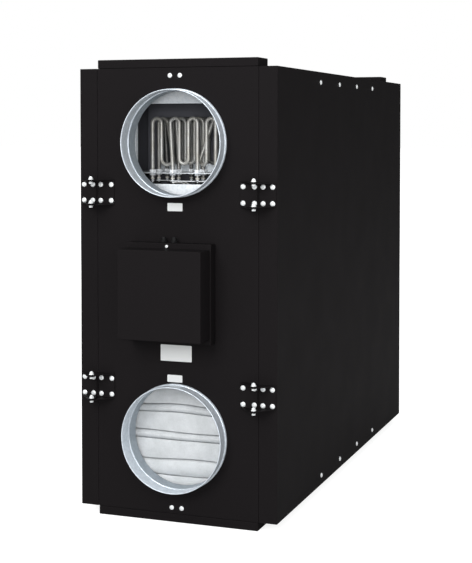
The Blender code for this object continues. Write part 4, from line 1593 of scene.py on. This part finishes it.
    def leg_spot(self, leg: int, row: int, z: float) -> Vector:
        """Return the point of a leg's tail at a height.

        Args:
            leg: The leg's number from the left.
            row: The row's number from the front.
            z: The height.

        Returns:
            The point.
        """
        lean = self.lean if leg in self.leaning_legs else 0.0
        return Vector((self.first_leg + leg * self.pitch + lean,
                       SIZES.front_y + self.front_row + row * self.row_pitch, z))

    def add_strips(self, shape: Shape, level: float) -> None:
        """Add the link strips between the studs.

        Args:
            shape: The bmesh to add to.
            level: The height of the studs.
        """
        half = self.strip_half
        for first, last, row in self.strips:
            start, stop = self.leg_spot(first, row, level), self.leg_spot(last, row, level)
            add_block(shape, (start.x - half, start.y - half, level + self.strip_levels[0]),
                      (stop.x + half, stop.y + half, level + self.strip_levels[1]), self.strip_edge, 1)

    def add_wires(self, shape: Shape, runs: Sequence[tuple], level: float) -> None:
        """Add short sleeved wires that leave the studs in an arch.

        Args:
            shape: The bmesh to add to.
            runs: The wires.
            level: The height that they start at.
        """
        for leg, row, sideways, back, drop in runs:
            path = []
            for step in range(self.wire_steps + 1):
                share = step / self.wire_steps
                rise = self.wire_rise * sin(pi * share) - drop * share ** 2
                path.append(self.leg_spot(leg, row, level)
                            + Vector((sideways * share, back * share ** 1.5, rise)))
            add_tube(shape, path, self.wire_radius, 10)

    def make_wiring(self) -> None:
        """Join the studs with link strips and short sleeved wires that end behind the apron."""
        level = self.plate_top - self.tail_below - self.stud_drop
        # The link strips take the brighter copy of the zinc plating, painted light for their place in shade.
        dress("heater_link_strips", lambda shape: self.add_strips(shape, level), LIT_ZINC)
        for name, runs, finish in (("heater_white_wires", self.white_wires, SLEEVE),
                                   ("heater_black_wires", self.black_wires, WIRE)):
            dress(name, lambda shape: self.add_wires(shape, runs, level - self.wire_start), finish,
                  smooth=60.0)

    def arc(self, start: Vector, stop: Vector, up: float) -> list[Vector]:
        """Return the points of a half turn between two leg ends.

        Args:
            start: The first leg's end.
            stop: The second leg's end.
            up: 1 for a turn upwards and -1 for one downwards.

        Returns:
            The points in order.
        """
        middle = (start + stop) / 2
        reach = (stop - start) / 2
        rise = Vector((0.0, 0.0, reach.length * up))
        return [middle - reach * cos(pi * s / self.arc_steps)
                + rise * sin(pi * s / self.arc_steps) for s in range(self.arc_steps + 1)]

    def path(self, first: int, mirror: float, rows: tuple) -> list[Vector]:
        """Return the middle line of one element, as the CAD element has it.

        Args:
            first: The leg that it starts at.
            mirror: The direction that its legs are counted in.
            rows: The rows that it stands in.

        Returns:
            The points of its middle line.
        """
        bend = self.pitch / 2
        near, far = (SIZES.front_y + self.front_row + row * self.row_pitch for row in (rows[0], rows[-1]))
        high = self.plate_top + self.above_plate - self.radius - bend
        low = self.plate_top + self.bend_above + self.radius + bend
        tail = self.plate_top - self.tail_below

        def spot(leg: int, y: float, z: float, lean: float = 0.0) -> Vector:
            """Return a point on a leg of this element."""
            return Vector((self.first_leg + (first + mirror * leg) * self.pitch + mirror * lean, y, z))

        if near != far:
            between = (near + far) / 2
            points = [spot(0, near, tail)]
            points += self.arc(spot(0, near, high), spot(1, near, high), 1.0)
            points += self.arc(spot(1, near, low), spot(2, between, low), -1.0)
            points += self.arc(spot(1, far, high), spot(0, far, high), 1.0)
            return points + [spot(0, far, tail)]
        points = [spot(0, near, tail, self.lean), spot(0, near, self.plate_top + self.straight, self.lean)]
        points += self.arc(spot(0, near, high), spot(1, near, high), 1.0)
        points += self.arc(spot(1, near, low), spot(2, near, low), -1.0)
        points += self.arc(spot(2, near, high), spot(3, near, high), 1.0)
        return points + [spot(3, near, tail)]

    def add_nut(self, shape: Shape) -> None:
        """Add the nuts and washers that hold a tube over and under the plate.

        Args:
            shape: The bmesh to add to.
        """
        add_hexagon(shape, *self.upper_nut)
        for washer in self.washers:
            add_turned(shape, washer, steps=24)
        add_hexagon(shape, *self.lower_nut)

    def add_stud(self, shape: Shape) -> None:
        """Add a threaded stud with its nut."""
        add_turned(shape, self.stud, steps=12)
        add_hexagon(shape, *self.stud_nut)

    def make_fittings(self, tails: Sequence[Vector]) -> None:
        """Put nuts on the plate and a ceramic bead with a stud at each tail.

        Args:
            tails: The lower ends of the elements.
        """
        feet = [(t.x, t.y, self.plate_top) for t in tails]
        # The nuts and studs take the brighter copy of the zinc plating, painted light for their place in
        # shade.
        repeat("heater_gland_nuts", shape_from(self.add_nut, "nut"), feet, LIT_ZINC)
        repeat("heater_beads", shape_from(lambda shape: add_turned(shape, self.bead, steps=16), "bead"),
               tails, CERAMIC)
        repeat("heater_studs", shape_from(self.add_stud, "stud"), tails, LIT_ZINC)


@dataclass
class PocketFilter:
    """A pocket filter of needled fleece in the lower chamber of one end.

    Each pocket's front rises from its crease to a sewn seam. Above the seam lies the roll,
    where the fleece is gathered, and the roll's top curls into the next crease.
    """

    frame_width: float = 0.014
    divider: float = 0.015
    behind_wall: float = 0.002
    pockets: int = 7
    pocket_depth: float = 0.2
    pocket_foot: float = 0.018
    pocket_gap: float = 0.003
    tip: float = 0.006
    columns: int = 96
    roll: float = 0.3
    rolls: dict = field(default_factory=lambda: {0: 0.62, 3: 0.36})
    groove: float = 0.036
    rise: float = 0.004
    edge: float = 0.012
    sway: float = 0.0011
    seeds: dict = field(default_factory=lambda: {End.FRONT: 41, End.REAR: 57})
    flat_shares: tuple = (0.0, 0.018, 0.035, 0.07, 0.14, 0.22, 0.32, 0.42, 0.52, 0.62, 0.72, 0.82, 0.9,
                          0.96, 0.992)
    groove_shares: tuple = (0.2, 0.5, 0.8)
    curl_shares: tuple = (0.0, 0.05, 0.12, 0.2, 0.3, 0.4, 0.5, 0.6, 0.7, 0.8, 0.87, 0.93, 0.965)
    crease: float = 0.012
    flat_depth: float = 0.0092
    flat_swell: float = 0.0052
    seam_depth: float = 0.0125
    roll_swell: float = 0.0118

    def build(self, end: End) -> None:
        """Build the fleece of one end in place of its CAD solid.

        Args:
            end: The end of the unit.
        """
        chance = random.Random(self.seeds[end])
        half = SIZES.panel_half - self.frame_width - SIZES.gap
        low = SIZES.bottom + SIZES.wall + SIZES.gap + self.frame_width + SIZES.gap
        high = SIZES.middle - self.divider / 2 - SIZES.gap - self.frame_width - SIZES.gap
        pitch = (high - low) / self.pockets
        waves = [[(chance.uniform(0.4, 1.0), chance.uniform(9.0, 38.0), chance.uniform(0.0, 6.3))
                  for _ in range(4)] for _ in range(self.pockets + 1)]

        def sway(fold: int, x: float) -> float:
            """Return how far a crease wanders up or down at an X."""
            return sum(a * sin(f * x + p) for a, f, p in waves[fold]) * self.sway

        def column(x: float) -> Outline:
            """Return the front of all folds at an X, from the lowest up.

            Args:
                x: The X.

            Returns:
                Depth and height pairs.
            """
            points = []
            for fold in range(self.pockets):
                for share in self.shares(fold):
                    lift = sway(fold, x) * (1 - share) + sway(fold + 1, x) * share + self.rise
                    z = low + (fold + share) * pitch
                    near_edge = min(1.0, (z - low) / self.edge, (high - z) / self.edge)
                    points.append((self.front(fold, share), z + lift * max(0.0, near_edge)))
            return points + [(self.front(0, 0.0), high)]

        def fleece(shape: Shape) -> None:
            """Add the closed fleece from its left to its right side.

            Args:
                shape: The bmesh to add to.
            """
            face = SIZES.depth(end, SIZES.wall + self.behind_wall)
            rows = []
            for at in range(self.columns + 1):
                x = -half + 2 * half * at / self.columns
                rows.append([shape.verts.new((x, face - end.value * depth, z))
                             for depth, z in column(x) + self.back(low, high, pitch)])
            join_rings(shape, rows, capped=True)

        node = "filter_fleece_" + end.word
        dress(node + "_pockets", fleece, FLEECE, node, smooth=60.0)

    def seam(self, fold: int) -> float:
        """Return the share of a fold at which its seam starts."""
        return 1.0 - self.rolls.get(fold, self.roll)

    def shares(self, fold: int) -> list[float]:
        """Return the shares of a fold that get a point, close together at its crease and seam.

        Args:
            fold: The fold's number from the bottom.

        Returns:
            Shares from 0 at the crease to nearly 1 at the next one.
        """
        seam = self.seam(fold)
        roll = 1.0 - seam - self.groove
        return ([seam * part for part in self.flat_shares]
                + [seam + self.groove * part for part in self.groove_shares]
                + [seam + self.groove + roll * part for part in self.curl_shares])

    def front(self, fold: int, share: float) -> float:
        """Return how deep the fleece lies at a share of a fold, from its crease upwards.

        Args:
            fold: The fold's number from the bottom.
            share: 0 at the crease and 1 at the next one.

        Returns:
            The depth behind the filter's face.
        """
        seam = self.seam(fold)
        if share < seam:
            part = share / seam
            dive = max(0.0, 1.0 - part / 0.035)
            swell = self.flat_swell * sin(pi * (0.14 + 0.7 * part))
            return self.flat_depth - swell + self.crease * dive
        if share < seam + 0.95 * self.groove:
            return self.seam_depth
        part = (share - seam - self.groove) / (1.0 - seam - self.groove)
        dive = max(0.0, (part - 0.93) / 0.07)
        swell = self.roll_swell * sin(pi * (0.2 + 0.66 * part))
        return self.seam_depth - swell + self.crease * dive

    def back(self, low: float, high: float, pitch: float) -> Outline:
        """Return the outline of the pockets behind the face, from the top down.

        Args:
            low: The lowest height of the fleece.
            high: Its highest height. Not used.
            pitch: The height of one pocket.

        Returns:
            Depth and height pairs.
        """
        points = []
        last = self.pockets - 1
        for pocket in reversed(range(self.pockets)):
            foot = low + pocket * pitch
            points.append((self.pocket_foot, foot + pitch - (0.0 if pocket == last else self.pocket_gap)))
            points += [(self.pocket_depth - self.tip + self.tip * cos(a),
                        foot + pitch / 2 + self.tip * sin(a))
                       for a in (radians(d) for d in range(90, -91, -30))]
            points.append((self.pocket_foot, foot + (self.pocket_gap if pocket else 0.0)))
        return points


@dataclass
class Fan:
    """A double inlet fan on its plate: scroll, side plates, inlet rings, wheel and motor.

    The profiles give radius and height pairs on the wheel's axis, with the side plate at 0.
    Those of the ring and the band give the radius from the wheel's and the rim's.
    """

    plate_depth: float = 0.296
    plate: float = 0.003
    plate_edge: float = 0.0008
    divider: float = 0.015
    axis_depth: float = 0.427
    axis_height: float = 0.8487
    radius: float = 0.123
    growth: float = 0.031
    half_width: float = 0.115
    side_sheet: float = 0.0012
    scroll_inset: float = 0.0022
    start: float = -140.0
    turn: float = 230.0
    steps: int = 56
    wheel: float = 0.072
    inlet: float = 0.045
    round_steps: int = 64
    ring: tuple = ((0.011, 0.0), (0.011, 0.0012), (0.004, 0.002), (-0.001, 0.001), (-0.0045, -0.004),
                   (-0.006, -0.0115), (-0.0072, -0.0115), (-0.0057, -0.004), (-0.0022, 0.0))
    rim_inset: float = 0.0022
    band: tuple = ((-0.011, -0.013), (0.0, -0.013), (0.0, -0.015), (-0.011, -0.015))
    disc: tuple = ((0.03, -0.0425), (0.024, -0.035), (0.0, -0.035))
    disc_foot: float = -0.044
    blades: int = 42
    blade_points: tuple = ((-0.0005, 0.0), (-0.004, -0.045), (-0.0105, -0.06))
    blade_turn: float = 0.009
    blade_foot: float = -0.043
    blade_length: float = 0.0285
    motor: tuple = ((0.0, -0.035), (0.0225, -0.035), (0.0225, -0.024), (0.0205, -0.0215),
                    (0.0105, -0.0208), (0.0095, -0.018), (0.0, -0.0175))

    def build(self, node: str, end: End) -> None:
        """Build one fan in place of its CAD node.

        Args:
            node: The CAD node's name.
            end: The end of the unit that it blows to.
        """
        housing = shape_from(lambda shape: self.add_housing(shape, end), "housing")
        dress(node + "_housing", self.cut_inlets(end, housing), ENAMEL, node, smooth=30.0)
        plates = shape_from(lambda shape: self.add_sides(shape, end), "sides")
        dress(node + "_side_plates", self.cut_inlets(end, plates), BRIGHT_SHEET, smooth=30.0)
        for ending, add, finish, smooth in (("_inlet_rings", self.add_ring, BRIGHT_SHEET, 60.0),
                                            ("_wheels", self.add_wheel, BRIGHT_SHEET, 40.0),
                                            ("_motor_caps", self.add_motor, ENAMEL, 40.0)):
            def pair(shape: Shape) -> None:
                """Add the part on both sides of the housing.

                Args:
                    shape: The bmesh to add to.
                """
                for side in Side:
                    add(shape, self.hub(end, side))

            dress(node + ending, pair, finish, smooth=smooth)

    def outline(self, end: End, inset: float) -> Outline:
        """Return the Y and Z outline of the scroll and its throat.

        Args:
            end: The end of the unit that the fan blows to.
            inset: How far inside the CAD outline it lies.

        Returns:
            Y and Z pairs in order.
        """
        points = []
        for step in range(self.steps + 1):
            share = step / self.steps
            reach = self.radius - self.growth * (1 - share) - inset
            angle = radians(self.start + self.turn * share)
            points.append((self.axis_depth + reach * cos(angle),
                           self.axis_height + reach * sin(angle)))
        back = self.plate_depth + self.plate / 2
        points += [(back, self.axis_height + self.radius - inset), (back, points[0][1])]
        return [(SIZES.depth(end, along), up) for along, up in points]

    def hub(self, end: End, side: Side) -> Matrix:
        """Return the placing on a wheel's axis, its Z pointing out of the housing."""
        return place_at((side.value * self.half_width, SIZES.depth(end, self.axis_depth),
                         self.axis_height), (side.value, 0.0, 0.0))

    def cut_inlets(self, end: End, mesh: Mesh) -> Mesh:
        """Return a mesh with the two round inlets cut out of it."""
        return cut_holes(mesh, self.wheel, self.inlet, [self.hub(end, side) for side in Side],
                         self.round_steps)

    def add_housing(self, shape: Shape, end: End) -> None:
        """Add the scroll and the plate across the chamber.

        Args:
            shape: The bmesh to add to.
            end: The end of the unit that the fan blows to.
        """
        half = self.half_width - self.side_sheet
        outline = [(-half, y, z) for y, z in self.outline(end, self.scroll_inset)]
        add_prism(shape, outline, Vector((2 * half, 0.0, 0.0)))
        ys = SIZES.span(end, self.plate_depth, self.plate_depth + self.plate)
        add_block(shape, (-SIZES.panel_half, ys[0], SIZES.middle + self.divider / 2 + SIZES.gap),
                  (SIZES.panel_half, ys[1], SIZES.top - SIZES.wall - SIZES.gap), self.plate_edge, 2)

    def add_sides(self, shape: Shape, end: End) -> None:
        """Add the two side plates of the scroll.

        Args:
            shape: The bmesh to add to.
            end: The end of the unit that the fan blows to.
        """
        for side in Side:
            x = side.value * (self.half_width - self.side_sheet)
            add_prism(shape, [(x, y, z) for y, z in self.outline(end, 0.0)],
                      Vector((side.value * self.side_sheet, 0.0, 0.0)))

    def add_ring(self, shape: Shape, hub: Matrix) -> None:
        """Add the drawn inlet ring on a side plate."""
        add_turned(shape, [(self.wheel + r, z) for r, z in self.ring], hub, self.round_steps, True)

    def add_wheel(self, shape: Shape, hub: Matrix) -> None:
        """Add the forward-curved blades, the rim band and the disc of one half wheel.

        Args:
            shape: The bmesh to add to.
            hub: The placing on the wheel's axis.
        """
        rim = self.wheel - self.rim_inset
        add_turned(shape, [(rim + r, z) for r, z in self.band], hub, self.round_steps, True)
        add_turned(shape, [(0.0, self.disc_foot), (rim, self.disc_foot), (rim, self.disc[0][1]),
                           *self.disc], hub, self.round_steps)
        for blade in range(self.blades):
            turn = 2 * pi * blade / self.blades
            corners = [(rim + reach, turn + lag) for reach, lag in self.blade_points]
            corners += [(r, a + self.blade_turn) for r, a in reversed(corners)]
            add_prism(shape, [hub @ Vector((r * cos(a), r * sin(a), self.blade_foot))
                              for r, a in corners],
                      hub.to_3x3() @ Vector((0.0, 0.0, self.blade_length)))

    def add_motor(self, shape: Shape, hub: Matrix) -> None:
        """Add the external rotor motor that shows in an inlet."""
        add_turned(shape, self.motor, hub, 40)


@dataclass
class Exchanger:
    """The plate heat exchanger: folded foil plates between end plates and corner angles."""

    side: float = 0.4497
    play: float = 0.0017
    plate_pitch: float = 0.0055
    plate: float = 0.0006
    cover: float = 0.0015
    angle: float = 0.02
    angle_play: float = 0.0002
    channel: float = 0.01

    def build(self) -> None:
        """Build the core in place of its CAD node."""
        count = int((2 * SIZES.panel_half - 2 * self.cover) / self.plate_pitch)
        first = -(count - 1) * self.plate_pitch / 2
        half = self.side / 2 - self.play
        middle = (0.0, SIZES.centre_y, SIZES.middle)
        foil = shape_from(lambda shape: self.add_square(shape, -self.plate / 2, self.plate / 2, half), "foil")
        repeat("exchanger_foils", foil,
               [(first + at * self.plate_pitch, *middle[1:]) for at in range(count)], FOIL, smooth=None)
        inner = SIZES.panel_half - self.cover
        # Painted shade: a dark block a little inside the foils stands for the shaded folds seen between them.
        block = shape_from(lambda shape: self.add_square(shape, -inner, inner, half - self.channel), "block")
        block.transform(Matrix.Translation(middle))
        dress("exchanger_folded_edges", block, SHADED_FOLDS, smooth=None)

        def covers(shape: Shape) -> None:
            """Add the end plates and the four angles.

            Args:
                shape: The bmesh to add to.
            """
            for side in Side:
                xs = sorted((side.value * SIZES.panel_half, side.value * inner))
                self.add_square(shape, xs[0], xs[1], half)
            for corner in range(4):
                self.add_angle(shape, corner)
            bmesh.ops.translate(shape, vec=middle, verts=shape.verts)

        dress("exchanger_end_plates_and_angles", covers, BRIGHT_SHEET, "exchanger_core", smooth=30.0)

    def add_square(self, shape: Shape, low_x: float, high_x: float, half: float) -> None:
        """Add a square plate that stands on its corner, about the X axis.

        Args:
            shape: The bmesh to add to.
            low_x: Its lowest X.
            high_x: Its highest X.
            half: Half the length of its side.
        """
        reach = half * sqrt(2.0)
        corners = [(low_x, reach * cos(pi / 2 * s), reach * sin(pi / 2 * s))
                   for s in range(4)]
        add_prism(shape, corners, Vector((high_x - low_x, 0.0, 0.0)))

    def add_angle(self, shape: Shape, corner: int) -> None:
        """Add one folded angle along a corner of the core.

        Args:
            shape: The bmesh to add to.
            corner: The corner's number, from 0 to 3.
        """
        outer = self.side / 2
        inner = outer - self.cover
        leg = outer - self.angle
        reach = SIZES.panel_half - self.cover - self.angle_play
        outline = [(leg, outer), (outer, outer), (outer, leg), (inner, leg), (inner, inner), (leg, inner)]
        turn = radians(90.0 * corner + 45.0)
        points = [(-reach, a * cos(turn) - b * sin(turn), a * sin(turn) + b * cos(turn))
                  for a, b in outline]
        add_prism(shape, points, Vector((2 * reach, 0.0, 0.0)))


def finish_cad_nodes() -> None:
    """Give each CAD node that still shows its finish by its material slot."""
    by_slot = {"black_powder_coat": COAT, "galvanised_steel": GALVANISED, "stainless_tube": TUBE,
               "filter_fleece": FLEECE, "dark_grey_paint": ENAMEL, "aluminium_foil": FOIL,
               "black_nylon": NYLON}
    for part in frame["record"]["subparts"]:
        node = frame["nodes"][part["node"]]
        bright = part["node"] == "heater_plate"
        finish = BRIGHT_SHEET if bright else by_slot[part["material_slot"]]
        node.data.materials.clear()
        node.data.materials.append(finish.material())


def main() -> None:
    """Build every sub-assembly in order."""
    logging.basicConfig(level=logging.INFO, format="%(name)s: %(message)s")
    Studio().build()
    finish_cad_nodes()
    Cabinet().build()
    Spigots().build()
    Doors().build()
    Hinges().build()
    ControlBox().build()
    FrontMarks().build()
    Heater().build()
    Exchanger().build()
    Fan().build("supply_fan", End.FRONT)
    Fan().build("exhaust_fan", End.REAR)
    for end in End:
        PocketFilter().build(end)


if __name__ == "__main__":
    main()
